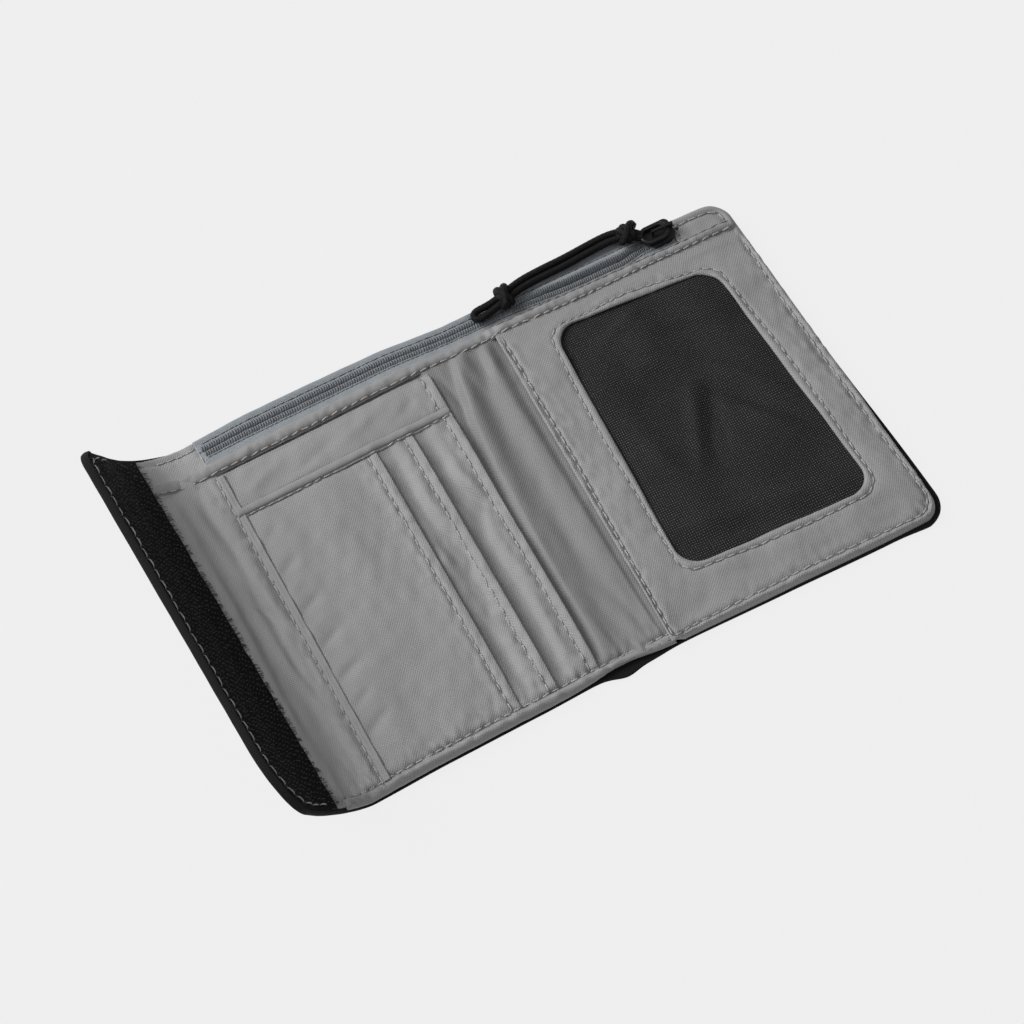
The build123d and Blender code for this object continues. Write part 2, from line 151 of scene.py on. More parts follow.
# (u, shift) knots: the lean of each cross line at LEAN_HEIGHT, and the rise at the bottom, middle and top
LEAN = (
    (-100, -1.5), (-84, -0.6), (-79, 0), (-11, 0.3), (12, 0.8), (25, 1.8), (53, -0.4), (81, -2.7), (95, -1.6),
)
RISE_LOW = ((-83, -0.2), (-60, 0.5), (-30, 0.8), (-8, 1.4), (18, 0.9), (46, 0.2), (75, -0.6), (95, -0.7))
RISE_MIDDLE = ((-83, 0), (-60, 0.2), (-13, 1.1), (13, 0.8), (46, -0.5), (81, -1.8), (95, -2.1))
RISE_HIGH = ((-83, 0.0), (-64, 1.0), (-22, 1.0), (0, -0.8), (70, -0.9), (84, -1.4), (95, -2.0))
LEAN_HEIGHT = 42.0
RISE_BAND = 45.0


def drift(u, v):
    """How far the sewn wallet strays from the pattern, in mm along u and v."""
    along = through(u, LEAN) * v / LEAN_HEIGHT
    low = np.clip((-v - RISE_BAND) / (HALF_HEIGHT - RISE_BAND), 0, 1)
    high = np.clip((v - RISE_BAND) / (HALF_HEIGHT - RISE_BAND), 0, 1)
    middle = 1 - low - high
    up = through(u, RISE_LOW) * low + through(u, RISE_MIDDLE) * middle + through(u, RISE_HIGH) * high
    return along, up


def place(u, v, h):
    """Pattern millimetres to metres in the row frame, as an array of points."""
    u, v, h = np.broadcast_arrays(np.asarray(u, float), np.asarray(v, float), np.asarray(h, float))
    along, up = drift(u, v)
    length = np.maximum(CURL_START - u, 0)
    tight = np.clip(length, 0, TIGHT_LENGTH) / TIGHT_RADIUS
    slope = tight + np.clip(length - TIGHT_LENGTH, 0, WIDE_LENGTH) / WIDE_RADIUS
    lip = np.maximum(length - TIGHT_LENGTH - WIDE_LENGTH, 0)
    inset = h - SHELL
    x = np.maximum(u, CURL_START) - TIGHT_RADIUS * np.sin(tight)
    x = x - WIDE_RADIUS * (np.sin(slope) - np.sin(tight)) - lip * np.cos(slope) + inset * np.sin(slope)
    z = SHELL + TIGHT_RADIUS * (1 - np.cos(tight)) + WIDE_RADIUS * (np.cos(tight) - np.cos(slope))
    z = z + lip * np.sin(slope) + inset * np.cos(slope)
    return np.stack([x + along, v + up, z], -1) * MM


class Ripples:
    """Smooth random waves over the pattern, made from a fixed seed; values are about -1 to 1."""

    def __init__(self, seed, across, along, count=22):
        random = np.random.default_rng(seed)
        angle = random.uniform(0, TURN, count)
        pace = random.uniform(0.6, 1.6, count)
        self.ku = TURN / across * pace * np.cos(angle)
        self.kv = TURN / along * pace * np.sin(angle)
        self.phase = random.uniform(0, TURN, count)
        self.scale = 1.4 / math.sqrt(count)

    def __call__(self, u, v):
        total = 0.0
        for ku, kv, phase in zip(self.ku, self.kv, self.phase):
            total = total + np.sin(ku * u + kv * v + phase)
        return total * self.scale


broad = Ripples(3, 26, 40)
fine = Ripples(5, 7, 9)
tall = Ripples(8, 7, 46)
pucker = Ripples(11, 3.4, 3.4)
weft = Ripples(14, 60, 12)
hem_ripples = Ripples(17, 4.5, 9)


# ---------------------------------------------------------------- heights of the visible surfaces
def groove(distance, depth=0.32, width=0.75):
    """The dip that a line of stitches pulls into the fabric."""
    return -depth * hill(distance, 0, width)


def puckers(u, v, distance, depth=0.10, reach=3.0):
    """Small ripples beside a seam."""
    return depth * pucker(u, v) * np.exp(-np.abs(distance) / reach)


def swell(x, low, high, edge):
    """0 at low and high, 1 from edge inside them."""
    t = np.clip(np.minimum(x - low, high - x) / edge, 0, 1)
    return np.sqrt(1 - (1 - t) ** 2)


def card_rows(v):
    """The groove of the bottom stitching, which runs along the card side and the spine."""
    return groove(v - HEM_STITCH, 0.45)


def creases(u, v, folds):
    """Listed folds: start, end, width and rise of each, tallest halfway along and fading to its ends."""
    total = 0.0 * u
    for (u0, v0), (u1, v1), width, rise in folds:
        length = math.hypot(u1 - u0, v1 - v0)
        along = ((u - u0) * (u1 - u0) + (v - v0) * (v1 - v0)) / length**2
        off = ((u - u0) * (v1 - v0) - (v - v0) * (u1 - u0)) / length
        total = total + rise * hill(off, 0, width) * ease(along, -0.15, 0.35) * ease(1 - along, -0.15, 0.35)
    return total


FRONT_FOLDS = (
    ((-77, 9.5), (-69, 13.0), 1.6, -0.55), ((-77, -3.5), (-68.5, 0.0), 1.5, -0.60),
    ((-77, -15.0), (-68, -11.5), 1.5, -0.60), ((-77, -26.0), (-67, -22.5), 1.6, -0.65),
    ((-77, -35.0), (-69, -31.5), 1.3, -0.40), ((-77, -43.5), (-67, -39.0), 1.6, -0.60),
    ((-77, 20.0), (-70, 24.0), 1.6, -0.35), ((-77, 4.0), (-70, 6.5), 1.5, 0.30),
    ((-77, -9.5), (-70, -6.5), 1.5, 0.30), ((-74, 34), (-52, 22), 4.0, -0.35),
    ((-50, -2), (-40, -34), 5.0, 0.35), ((-62, 20), (-48, -10), 6.0, 0.30),
    ((-60, -40), (-42, -50), 3.0, -0.30), ((-46, 30), (-40, 12), 3.0, -0.25),
)
# (v, u) knots of the long dip in the middle and rear slots' strips
MIDDLE_DIP = ((-56, -32.6), (-39, -31.8), (-22, -30.0), (-9, -28.6), (3, -31.4), (14, -32.2), (34, -32.6))
REAR_DIP = ((-56, -20.8), (-24, -20.0), (-9, -20.6), (3, -18.6), (12, -20.2), (34, -20.8))
MIDDLE_FOLDS = (
    ((-34.5, 3), (-26.5, -14), 2.0, -0.65), ((-33.0, 4), (-33.2, -14), 1.6, 0.50),
    ((-29.0, 18), (-28.0, 0), 1.8, 0.45), ((-30, 33), (-26, 16), 1.8, 0.40),
    ((-34, -16), (-29.5, -44), 2.2, 0.55), ((-28.0, -28), (-25.5, -46), 1.4, -0.35),
    ((-28.5, 8), (-25.5, -2), 1.4, 0.45),
)
REAR_FOLDS = (
    ((-22.8, 10), (-12.8, -3), 2.1, -1.15), ((-19, 18), (-15.5, 4), 2.2, 0.85),
    ((-17.5, 33), (-14, 22), 1.8, 0.40), ((-18.0, -4), (-14.0, -34), 2.3, 0.60),
    ((-21.5, -2), (-21.0, -20), 1.6, -0.60), ((-20, 29), (-20.5, 16), 1.4, -0.35),
    ((-15.5, -38), (-13.8, -50), 1.3, -0.30),
)
BAND_FOLDS = (
    ((-74, 37), (-60, 42), 1.8, 0.40), ((-58, 36), (-44, 41), 1.6, -0.35),
    ((-44, 38), (-28, 43), 1.8, 0.40), ((-66, 34), (-50, 36), 1.2, 0.25),
    ((-28, 36), (-17, 41), 1.4, -0.30),
)


def slot_seams(u, v, row, pull):
    """What a slot's stitching does to it: the row at u = row along its mouth, and the bottom row."""
    small = puckers(u, v, u - row, pull) + puckers(u, v, v - HEM_STITCH, 0.22)
    return groove(u - row, 0.34) + card_rows(v) + small


def front_slot_height(u, v):
    pillow = 1.1 * ease(u, SEAM + 0.5, SEAM + 11) * ease(-u, -MOUTH_FRONT - 6, -MOUTH_FRONT + 20)
    pillow = pillow * swell(v, HEM_STITCH, SLOT_TOP - 2, 20)
    length = swell(v, HEM_STITCH, SLOT_TOP - 2.5, 22)
    lift = 1.0 * ease(u, MOUTH_FRONT - 8, MOUTH_FRONT - 0.5) * length
    crease = creases(u, v, FRONT_FOLDS) + 0.16 * broad(u + 40, v) * swell(v, HEM_STITCH, SLOT_TOP, 8)
    crease = crease * ease(u, SEAM + 1.5, SEAM + 4.5)
    seams = slot_seams(u, v, FRONT_ROW, 0.16) + groove(v - SLOT_ROW, 0.3)
    return FRONT_TOP + pillow + lift + crease + seams + 0.05 * fine(u, v)


def at_least(height, low):
    """Height, eased so that it never falls below low."""
    return low + np.logaddexp(0, (height - low) * 6) / 6


def strip_height(u, v, left, right, dip, folds, phase):
    """One slot's visible strip: it dips beside the mouth on its left and rises to its own on the right."""
    length = swell(v, HEM_STITCH, SLOT_TOP - 2.0, 16)
    down = -1.15 * ease(u, left - 0.6, dip)
    up = 1.25 * ease(u, dip, dip + 3.6)
    lift = 0.95 * ease(u, right - 4.2, right - 0.4)
    waves = 0.22 * tall(u, v + 20 * phase) * ease(u, left + 0.5, left + 3)
    return at_least((0.55 + down + up + lift + waves) * length + creases(u, v, folds), -0.65)


def middle_slot_height(u, v):
    strip = strip_height(u, v, MOUTH_FRONT, MOUTH_MIDDLE, through(v, MIDDLE_DIP), MIDDLE_FOLDS, 0.7)
    return MIDDLE_TOP + strip + slot_seams(u, v, MIDDLE_ROW, 0.14) + 0.06 * fine(u, v + 9)


def rear_slot_height(u, v):
    below = ease(-v, -SLOT_TOP - 0.2, -SLOT_TOP + 2.5)
    strip = strip_height(u, v, MOUTH_MIDDLE, MOUTH_REAR, through(v, REAR_DIP), REAR_FOLDS, 2.2) * below
    lift = 0.9 * ease(u, MOUTH_REAR - 5, MOUTH_REAR) * swell(v, SLOT_TOP - 4, PANEL_TOP, 8)
    band = 0.55 * swell(v, SLOT_TOP, PANEL_TOP, 5) * swell(u, SEAM + 1, MOUTH_REAR + 2, 12)
    band = band + creases(u, v, BAND_FOLDS) + 0.10 * broad(u * 1.3, v) * swell(v, SLOT_TOP - 1, PANEL_TOP, 3)
    seams = slot_seams(u, v, REAR_ROW, 0.14)
    return REAR_TOP + strip + lift + band * (1 - 0.7 * below) + seams + 0.05 * fine(u + 31, v)


# (v, u) knots of the spine's long folds: crest of the left one, bottom between, and shoulder of the right one
SPINE_CREST = ((-56, -8.0), (-46, -7.9), (-20, -8.0), (10, -7.6), (25, -6.6), (36, -4.6), (45, -2.8))
SPINE_TROUGH = ((-56, 1.0), (-20, 0.0), (10, 0.5), (30, 1.5), (45, 2.8))
SPINE_SHOULDER = ((-56, 9.4), (-38, 8.4), (-8, 7.6), (12, 7.0), (30, 6.0), (45, 6.2))
SPINE_FOLDS = (
    ((-0.5, 50), (1.0, 32), 1.8, 0.80), ((4.4, 47), (4.0, 36), 1.1, -0.45),
    ((7.6, 48), (6.6, 38), 1.5, 0.45), ((-9.5, 46), (-6.5, 30), 1.1, -0.50),
    ((-2, -30), (4, -52), 2.2, 0.40), ((3.5, -36), (6.5, -54), 1.5, -0.40),
    ((-5.5, -38), (-3.0, -54), 1.4, -0.30), ((-1, 24), (1, -6), 2.6, -0.30),
    ((3.5, 12), (4.5, -26), 2.0, 0.25),
)


def spine_height(u, v):
    """The soft spine: a fold beside each side, long slack between, and short creases at the ends."""
    length = swell(v, HEM_STITCH, FACING_LOW + 2, 13)
    crest, trough, shoulder = through(v, SPINE_CREST), through(v, SPINE_TROUGH), through(v, SPINE_SHOULDER)
    tall_part = ease(v, -32, 26)
    dip = np.maximum(crest - 1.9, SPINE_LEFT + 1.2)
    first = 0.85 * ease(u, SPINE_LEFT - 0.4, dip)
    rise = (1.35 + 0.75 * tall_part) * ease(u, dip, crest + 0.4)
    fall = (1.65 + 0.55 * tall_part) * ease(u, crest + 0.4, trough)
    second = (1.05 + 0.25 * tall_part) * ease(u, trough, shoulder)
    last = (0.80 + 0.85 * ease(v, -20, 32)) * ease(u, shoulder, FRAME_LEFT - 1.0)
    waves = 0.13 * tall(u, v) + 0.04 * fine(u, v)
    long_folds = (0.35 - first + rise - fall + second - last + waves) * length
    seams = card_rows(v) + puckers(u, v, v - HEM_STITCH, 0.2)
    return SPINE_TOP + 0.25 + long_folds + creases(u, v, SPINE_FOLDS) + seams


LINING_FOLDS = (
    ((-85.5, 44), (-83.5, 16), 2.0, -0.70), ((-86, 14), (-82, -6), 1.8, -0.75),
    ((-85, -8), (-82, -30), 1.8, -0.65), ((-88, 8), (-83, -1), 1.2, -0.45),
    ((-84, -36), (-81.5, -54), 1.2, 0.35), ((-87.5, -44), (-86, -56), 1.1, -0.40),
    ((-83.0, -46), (-80.5, -57), 0.9, -0.35), ((-88.5, 40), (-87, 12), 1.7, 0.60),
    ((-88, 6), (-86.5, -30), 1.8, 0.60), ((-90, 50), (-84, 46), 1.2, 0.35),
)


def lining_height(u, v):
    """The lining left of the slots, which runs on up the flap."""
    flat = 2.9 - 1.25 * ease(-u, -CURL_START + 1, -CURL_START + 9)
    slack = swell(v, HEM_STITCH, FACING_LOW, 14)
    ridge = 0.55 * hill(u, SEAM - 3.0 + 0.5 * np.sin(v / 9), 1.7) * slack
    roll = 0.85 * hill(u, HOOK_START + 3.2 + 0.8 * np.sin(v / 16), 2.2) * slack
    seams = card_rows(v) + groove(u - SEAM, 0.3) + groove(v - HALF_HEIGHT + 3.0, 0.2)
    rough = 0.16 * tall(u + 3, v) * ease(u, HOOK_START - 1, HOOK_START + 3) * slack
    small = puckers(u, v, u - SEAM, 0.16) + puckers(u, v, v - HEM_STITCH, 0.2) + 0.05 * fine(u, v)
    return flat + ridge + roll + seams + rough + creases(u, v, LINING_FOLDS) + small


FRAME_FOLDS = (
    ((14, 30), (22, 26), 3.0, 0.30), ((13, -5), (21, -8), 2.0, -0.22), ((15, -24), (22, -28), 2.5, 0.25),
    ((16, -46), (26, -52), 2.4, 0.35), ((30, -47), (44, -51), 1.8, -0.25),
    ((50, -46), (62, -52), 2.6, 0.25), ((70, -47), (88, -50), 2.4, -0.30),
    ((84, -30), (91, -38), 2.2, 0.30), ((84, -2), (90, 6), 2.4, 0.25), ((84, 24), (90, 30), 2.4, -0.22),
    ((84, 14), (91, 12), 2.0, -0.22), ((28, 44), (40, 46), 1.6, 0.20),
)


def hem_fall(u, v):
    """How much lower the grey frame lies towards its bottom and right hems."""
    return 1.1 * ease(-v, 43, 57) * ease(u, FRAME_LEFT + 1, FRAME_LEFT + 6) + 0.5 * ease(u, 84, 93)


def frame_height(u, v):
    """The grey frame round the window, without its edges."""
    soft = 0.20 * broad(u, v * 1.2 + 20) + 0.05 * fine(u, v) + creases(u, v, FRAME_FOLDS)
    return ID_TOP + 0.35 + soft * swell(v, HEM_STITCH, FACING_LOW, 8) - hem_fall(u, v)


def facing_outline(u, v):
    """Spreads a strip of 0 to 1 between the facing's stitch line and its top edge."""
    low, high = through(u, FACING_BASE) - 0.5, through(u, FACING_EDGE)
    return u, low + (high - low) * v


# (u, height) knots of the surface that the facing lies on
FACING_KNOTS = (
    (-98, 1.75), (-92, 2.0), (-80, 3.0), (-12, 3.1), (-9, 2.8), (8, 3.1), (13, 4.15), (95, 4.15),
)


def facing_height(u, v):
    """The rolled facing below the zip. It steps up on to the ID frame and runs out flat on the left."""
    low, high = through(u, FACING_BASE), through(u, FACING_EDGE)
    across = np.clip((v - low) / (high - low), 0, 1) * 2 - 1
    round_top = np.sqrt(np.clip(1 - across**2, 0, 1))
    base = through(u, FACING_KNOTS)
    puff = 1.05 * ease(u, -88, -76) + 0.14 * weft(u, v * 0)
    dimple = 0.5 * (hill(u, 9.9, 0.6) - hill(u, 8.5, 0.9) - hill(u, 11.3, 0.8))
    return base + (puff + dimple) * round_top + 0.08 * fine(u, v) + 0.10 * pucker(u, v) * (across < 0.4)


def zip_outline(u, v):
    """The zip sags towards the facing beside the slider, and its rear tape spreads out there."""
    beside = ease(u, 12, 40) * ease(-u, -66, -56)
    rear = ease(v, ZIP_LINE + 1.5, TAPE_TOP)
    return u, v + beside * (1.7 * rear - 1.2 * (1 - rear))


def tape_height(u, v):
    """Zip tapes: a little slack, and pinched up into a ridge beside the slider."""
    ridge = 1.5 * hill(v, ZIP_LINE + 0.9, 1.7) * ease(u, 12, 36) * ease(-u, -66, -58)
    wave = 0.22 * np.sin(u / 9.5 + 0.6) * ease(v, ZIP_LINE, TAPE_TOP)
    return TAPE_HEIGHT + 0.25 + ridge + wave + 0.04 * fine(u, v)


def shell_height(u, _):
    """Top of the outer shell; its underside stays on the floor."""
    return SHELL + 0 * u


def card_height(u, v):
    """The visible surface of the card side and the spine."""
    slots = np.where(u < MOUTH_FRONT, front_slot_height(u, v), middle_slot_height(u, v))
    slots = np.where((u < MOUTH_MIDDLE) & (v < SLOT_TOP), slots, rear_slot_height(u, v))
    slots = np.where(u < SEAM, lining_height(u, v), slots)
    return np.where(u < SPINE_LEFT, slots, spine_height(u, v))


# ---------------------------------------------------------------- meshes
def lines(start, stop, step, finer=()):
    """Grid lines from start to stop, with closer ones at the ends and at each seam in finer."""
    base = np.linspace(start, stop, max(2, int(round(abs(stop - start) / step)) + 1))
    near = np.array([0.12, 0.3, 0.6, 1.0])
    extra = [start + near, stop - near]
    for seam in finer:
        if start + 1.2 < seam < stop - 1.2:
            extra.append(seam + np.array([-0.9, -0.5, -0.22, 0, 0.22, 0.5, 0.9]))
    extra = np.concatenate(extra)
    keep = [x for x in base[1:-1] if np.min(np.abs(extra - x)) > 0.35 * step]
    found = np.sort(np.concatenate([[start, stop], keep, extra]))
    return found[np.concatenate([[True], np.diff(found) > 0.05])]


def make_object(name, points, faces, pattern, materials, slots=None, sharp=60):
    """A mesh object from points in metres, with the pattern's millimetres as its UV map."""
    mesh = bpy.data.meshes.new(name)
    mesh.from_pydata(points, [], faces)
    mesh.update()
    for material in materials:
        mesh.materials.append(material)
    if slots is not None:
        mesh.polygons.foreach_set("material_index", np.asarray(slots, np.int32))
    corners = np.empty(len(mesh.loops), np.int32)
    mesh.loops.foreach_get("vertex_index", corners)
    layer = mesh.uv_layers.new(name="pattern")
    layer.data.foreach_set("uv", np.asarray(pattern, np.float32)[corners].ravel())
    mesh.shade_smooth()
    mesh.set_sharp_from_angle(angle=math.radians(sharp))
    found = bpy.data.objects.new(name, mesh)
    bpy.context.scene.collection.objects.link(found)
    return found


def grid_faces(rows, columns, start=0, flip=False, closed=False):
    """Quads of a rows x columns grid of points; closed joins the last column to the first."""
    r = np.arange(rows - 1)[:, None]
    c = np.arange(columns if closed else columns - 1)[None, :]
    after = (c + 1) % columns
    quads = [r * columns + c, (r + 1) * columns + c, (r + 1) * columns + after, r * columns + after]
    quads = np.stack([q + 0 * r for q in quads], -1).reshape(-1, 4) + start
    return quads[:, ::-1] if flip else quads


def wall_faces(upper, lower):
    """Quads between two loops of point numbers."""
    return np.stack([upper, lower, np.roll(lower, -1), np.roll(upper, -1)], -1)


def rounding(distance, thickness):
    """Share of the full thickness at this distance from a folded edge."""
    t = np.clip(distance / (0.75 * thickness), 0, 1)
    return 0.08 + 0.92 * np.sqrt(1 - (1 - t) ** 2)


def two_skins(u, v, top, thick, share):
    """Points and pattern of a sheet's upper skin, then of its lower one; they meet where share falls to 0."""
    upper = place(u, v, top - thick / 2 * (1 - share))
    lower = place(u, v, top - thick + thick / 2 * (1 - share))
    pattern = np.stack([u, v], -1).reshape(-1, 2)
    return np.concatenate([upper.reshape(-1, 3), lower.reshape(-1, 3)]), np.concatenate([pattern, pattern])


def panel(name, u_lines, v_lines, height, thickness, material, outline=None, plain=""):
    """A closed sheet with height(u, v) as its upper surface.

    outline(u, v) bends the grid first. The sides named in plain (l, r, b, t) aren't rounded.
    """
    u, v = np.meshgrid(u_lines, v_lines, indexing="ij")
    edge = np.full(u.shape, 99.0)
    for side, distance in zip("lrbt", (u - u_lines[0], u_lines[-1] - u, v - v_lines[0], v_lines[-1] - v)):
        if side not in plain:
            edge = np.minimum(edge, distance)
    if outline is not None:
        u, v = outline(u, v)
    top = height(u, v)
    thick = thickness(u, v) if callable(thickness) else thickness + 0 * u
    share = rounding(edge, np.maximum(thick, 0.3))
    rows, columns = u.shape
    number = np.arange(rows * columns).reshape(rows, columns)
    rim = np.concatenate([number[:, 0], number[-1, 1:], number[-2::-1, -1], number[0, -2:0:-1]])
    count = rows * columns
    faces = [
        grid_faces(rows, columns),
        grid_faces(rows, columns, count, flip=True),
        wall_faces(rim, rim + count),
    ]
    points, pattern = two_skins(u, v, top, thick, share)
    return make_object(name, points, np.concatenate(faces), pattern, [material])


def length_along(points):
    """Length from a line's start to each of its points."""
    return np.concatenate([[0], np.cumsum(np.linalg.norm(np.diff(points, axis=0), axis=1))])


def frames_along(points):
    """Tangent, side and up at each point of one line, with no twist."""
    tangent = np.gradient(points, axis=0)
    tangent /= np.linalg.norm(tangent, axis=1)[:, None]
    up = np.array([0.0, 0.0, 1.0])
    if abs(tangent[0] @ up) > 0.9:
        up = np.array([0.0, 1.0, 0.0])
    ups = []
    for t in tangent:
        up = up - t * (up @ t)
        up = up / np.linalg.norm(up)
        ups.append(up)
    ups = np.array(ups)
    return tangent, np.cross(tangent, ups), ups


def rope(points, radius, sides, relief=None):
    """Points, faces and pattern of a closed tube along points, in metres.

    relief(length, angle) scales its radius.
    """
    points = np.asarray(points, float)
    _, side, up = frames_along(points)
    length = length_along(points)
    angle = np.arange(sides) * TURN / sides
    size = np.broadcast_to(radius, (len(points),))[:, None] * np.ones(sides)
    if relief is not None:
        size = size * relief(length[:, None], angle[None, :])
    ring = side[:, None] * np.cos(angle)[None, :, None] + up[:, None] * np.sin(angle)[None, :, None]
    skin = points[:, None] + ring * size[..., None]
    faces = grid_faces(len(points), sides, closed=True)
    count = len(points) * sides
    caps = []
    for i in range(sides):
        j = (i + 1) % sides
        caps += [(i, j, count), (count - sides + j, count - sides + i, count + 1)]
    skin = np.concatenate([skin.reshape(-1, 3), points[:1], points[-1:]])
    pattern = np.stack(np.broadcast_arrays(length[:, None] / MM, angle[None, :]), -1).reshape(-1, 2)
    pattern = np.concatenate([pattern, pattern[:1], pattern[-1:]])
    return skin, [tuple(f) for f in faces] + caps, pattern


def threads(lines_in, radii, sides, flatten=1.0):
    """Points and faces of many like small tubes. lines_in is (n, k, 3) in pattern mm, radii is (k,) in mm."""
    lines_in = np.asarray(lines_in, float)
    centre = place(lines_in[..., 0], lines_in[..., 1], lines_in[..., 2])
    above = place(lines_in[..., 0], lines_in[..., 1], lines_in[..., 2] + 0.2) - centre
    above /= np.linalg.norm(above, axis=-1)[..., None]
    tangent = np.gradient(centre, axis=1)
    tangent /= np.linalg.norm(tangent, axis=-1)[..., None] + 1e-12
    side = np.cross(tangent, above)
    side /= np.linalg.norm(side, axis=-1)[..., None] + 1e-12
    up = np.cross(side, tangent)
    angle = np.arange(sides) * TURN / sides
    size = np.asarray(radii, float)[None, :, None, None] * MM
    ring = side[:, :, None] * np.cos(angle)[:, None] + up[:, :, None] * np.sin(angle)[:, None] * flatten
    skin = centre[:, :, None] + ring * size
    n, k = lines_in.shape[:2]
    tube = grid_faces(k, sides, closed=True)
    ends = np.array([list(range(sides)), list(range(k * sides - 1, (k - 1) * sides - 1, -1))])
    shift = (np.arange(n) * k * sides)[:, None, None]
    quads = (tube[None] + shift).reshape(-1, 4).tolist()
    caps = (ends[None] + shift).reshape(-1, sides).tolist()
    pattern = np.repeat(lines_in[..., None, :2], sides, axis=2).reshape(-1, 2)
    return skin.reshape(-1, 3), quads + caps, pattern


def resample(line, step):
    """Points at about this step along a polyline of (u, v), with the direction at each."""
    line = np.asarray(line, float)
    length = length_along(line)
    count = max(1, int(round(length[-1] / step)))
    at = (np.arange(count) + 0.5) * length[-1] / count

    def spot(shift):
        return np.stack([np.interp(at + shift, length, line[:, axis]) for axis in (0, 1)], -1)

    middle, direction = spot(0), spot(0.2) - spot(-0.2)
    return middle, direction / np.linalg.norm(direction, axis=1)[:, None]


STITCH_LEAN = 0.05
# the dark spot at each stitch end, painted shade for its needle hole: shares along the stitch and radii
HOLE_SHADE_SHARE = np.array([-0.42, -0.2, 0, 0.2, 0.42])
HOLE_SHADE_RADII = np.array([0.05, 0.13, 0.17, 0.13, 0.05])


def stitches(name, runs, height, seed, pitch=3.0, length=2.45, thread=None, size=0.20, rise=0.10):
    """Sewn thread along runs of (u, v): an arched dash for each stitch, with a dark spot of painted shade for
    the needle hole at both ends.
    """
    random = np.random.default_rng(seed)
    dashes, hole_shades = [], []
    share = np.linspace(-1, 1, 9)
    for run in runs:
        middle, direction = resample(run, pitch)
        turn = random.normal(STITCH_LEAN, 0.05, len(middle))
        across = np.stack([-direction[:, 1], direction[:, 0]], -1)
        heading = direction * np.cos(turn)[:, None] + across * np.sin(turn)[:, None]
        half = length / 2 * random.uniform(0.92, 1.06, len(middle))
        spot = middle[:, None] + heading[:, None] * (half[:, None] * share)[..., None]
        top = height(spot[..., 0], spot[..., 1])
        arch = top + rise - (rise + 0.22) * np.abs(share) ** 5
        dashes.append(np.concatenate([spot, arch[..., None]], -1))
        # a flat dark spot at both ends of the stitch: painted shade where the thread goes into its needle
        # hole
        for end in (-1, 1):
            tip = middle + heading * (half * end)[:, None]
            along = tip[:, None] + heading[:, None] * HOLE_SHADE_SHARE[:, None]
            lift = height(along[..., 0], along[..., 1]) + 0.03
            hole_shades.append(np.concatenate([along, lift[..., None]], -1))
    radii = size * np.array([0.35, 0.8, 1, 1, 1, 1, 1, 0.8, 0.35])
    skin, faces, pattern = threads(np.concatenate(dashes), radii, 7)
    shade_skin, shade_faces, shade_pattern = threads(np.concatenate(hole_shades), HOLE_SHADE_RADII, 6, 0.35)
    shifted = [tuple(i + len(skin) for i in f) for f in shade_faces]
    slots = np.concatenate([np.zeros(len(faces)), np.ones(len(shifted))])
    points = np.concatenate([skin, shade_skin])
    pattern = np.concatenate([pattern, shade_pattern])
    return make_object(name, points, faces + shifted, pattern, [thread or THREAD, HOLE_SHADE], slots)


# ---------------------------------------------------------------- materials
class Nodes:
    """A few short calls for building a node tree."""

    def __init__(self, name):
        self.material = bpy.data.materials.new(name)
        self.material.use_nodes = True
        self.tree = self.material.node_tree
        self.shader = self.tree.nodes["Principled BSDF"]

    def link(self, source, target):
        if isinstance(source, (int, float)):
            target.default_value = source
        else:
            self.tree.links.new(source, target)

    def maths(self, kind, a, b=0.0, c=0.0):
        node = self.tree.nodes.new("ShaderNodeMath")
        node.operation = kind
        for value, socket in zip((a, b, c), node.inputs):
            self.link(value, socket)
        return node.outputs[0]

    def pattern(self):
        """The pattern's u and v in millimetres."""
        uv = self.tree.nodes.new("ShaderNodeUVMap")
        uv.uv_map = "pattern"
        split = self.tree.nodes.new("ShaderNodeSeparateXYZ")
        self.tree.links.new(uv.outputs[0], split.inputs[0])
        return uv.outputs[0], split.outputs[0], split.outputs[1]

    def noise(self, vector, scale, detail=3.0, roughness=0.5):
        node = self.tree.nodes.new("ShaderNodeTexNoise")
        node.inputs["Scale"].default_value = scale
        node.inputs["Detail"].default_value = detail
        node.inputs["Roughness"].default_value = roughness
        self.tree.links.new(vector, node.inputs["Vector"])
        return node.outputs["Fac"]

    def wave(self, along, pace, shift=0.0):
        """A sine along one direction, with pace in radians for each millimetre."""
        return self.maths("SINE", self.maths("MULTIPLY", self.maths("ADD", along, shift), pace))

    def object_place(self):
        return self.tree.nodes.new("ShaderNodeTexCoord").outputs["Object"]

    def ramp(self, factor, stops):
        node = self.tree.nodes.new("ShaderNodeValToRGB")
        while len(node.color_ramp.elements) < len(stops):
            node.color_ramp.elements.new(0.5)
        for element, (at, colour) in zip(node.color_ramp.elements, stops):
            element.position = at
            element.color = (*colour, 1)
        self.link(factor, node.inputs[0])
        return node.outputs[0]

    def bump(self, height, distance, strength=1.0, before=None):
        node = self.tree.nodes.new("ShaderNodeBump")
        node.inputs["Strength"].default_value = strength
        node.inputs["Distance"].default_value = distance
        self.link(height, node.inputs["Height"])
        if before is not None:
            self.tree.links.new(before, node.inputs["Normal"])
        return node.outputs[0]

    def finish(self, colour, roughness, normal, **plain):
        self.tree.links.new(colour, self.shader.inputs["Base Color"])
        self.link(roughness, self.shader.inputs["Roughness"])
        if normal is not None:
            self.tree.links.new(normal, self.shader.inputs["Normal"])
        for socket, value in plain.items():
            self.shader.inputs[socket.replace("_", " ")].default_value = value
        return self.material


def shade(level, tint=(1, 1, 1)):
    return tuple(level * t for t in tint)


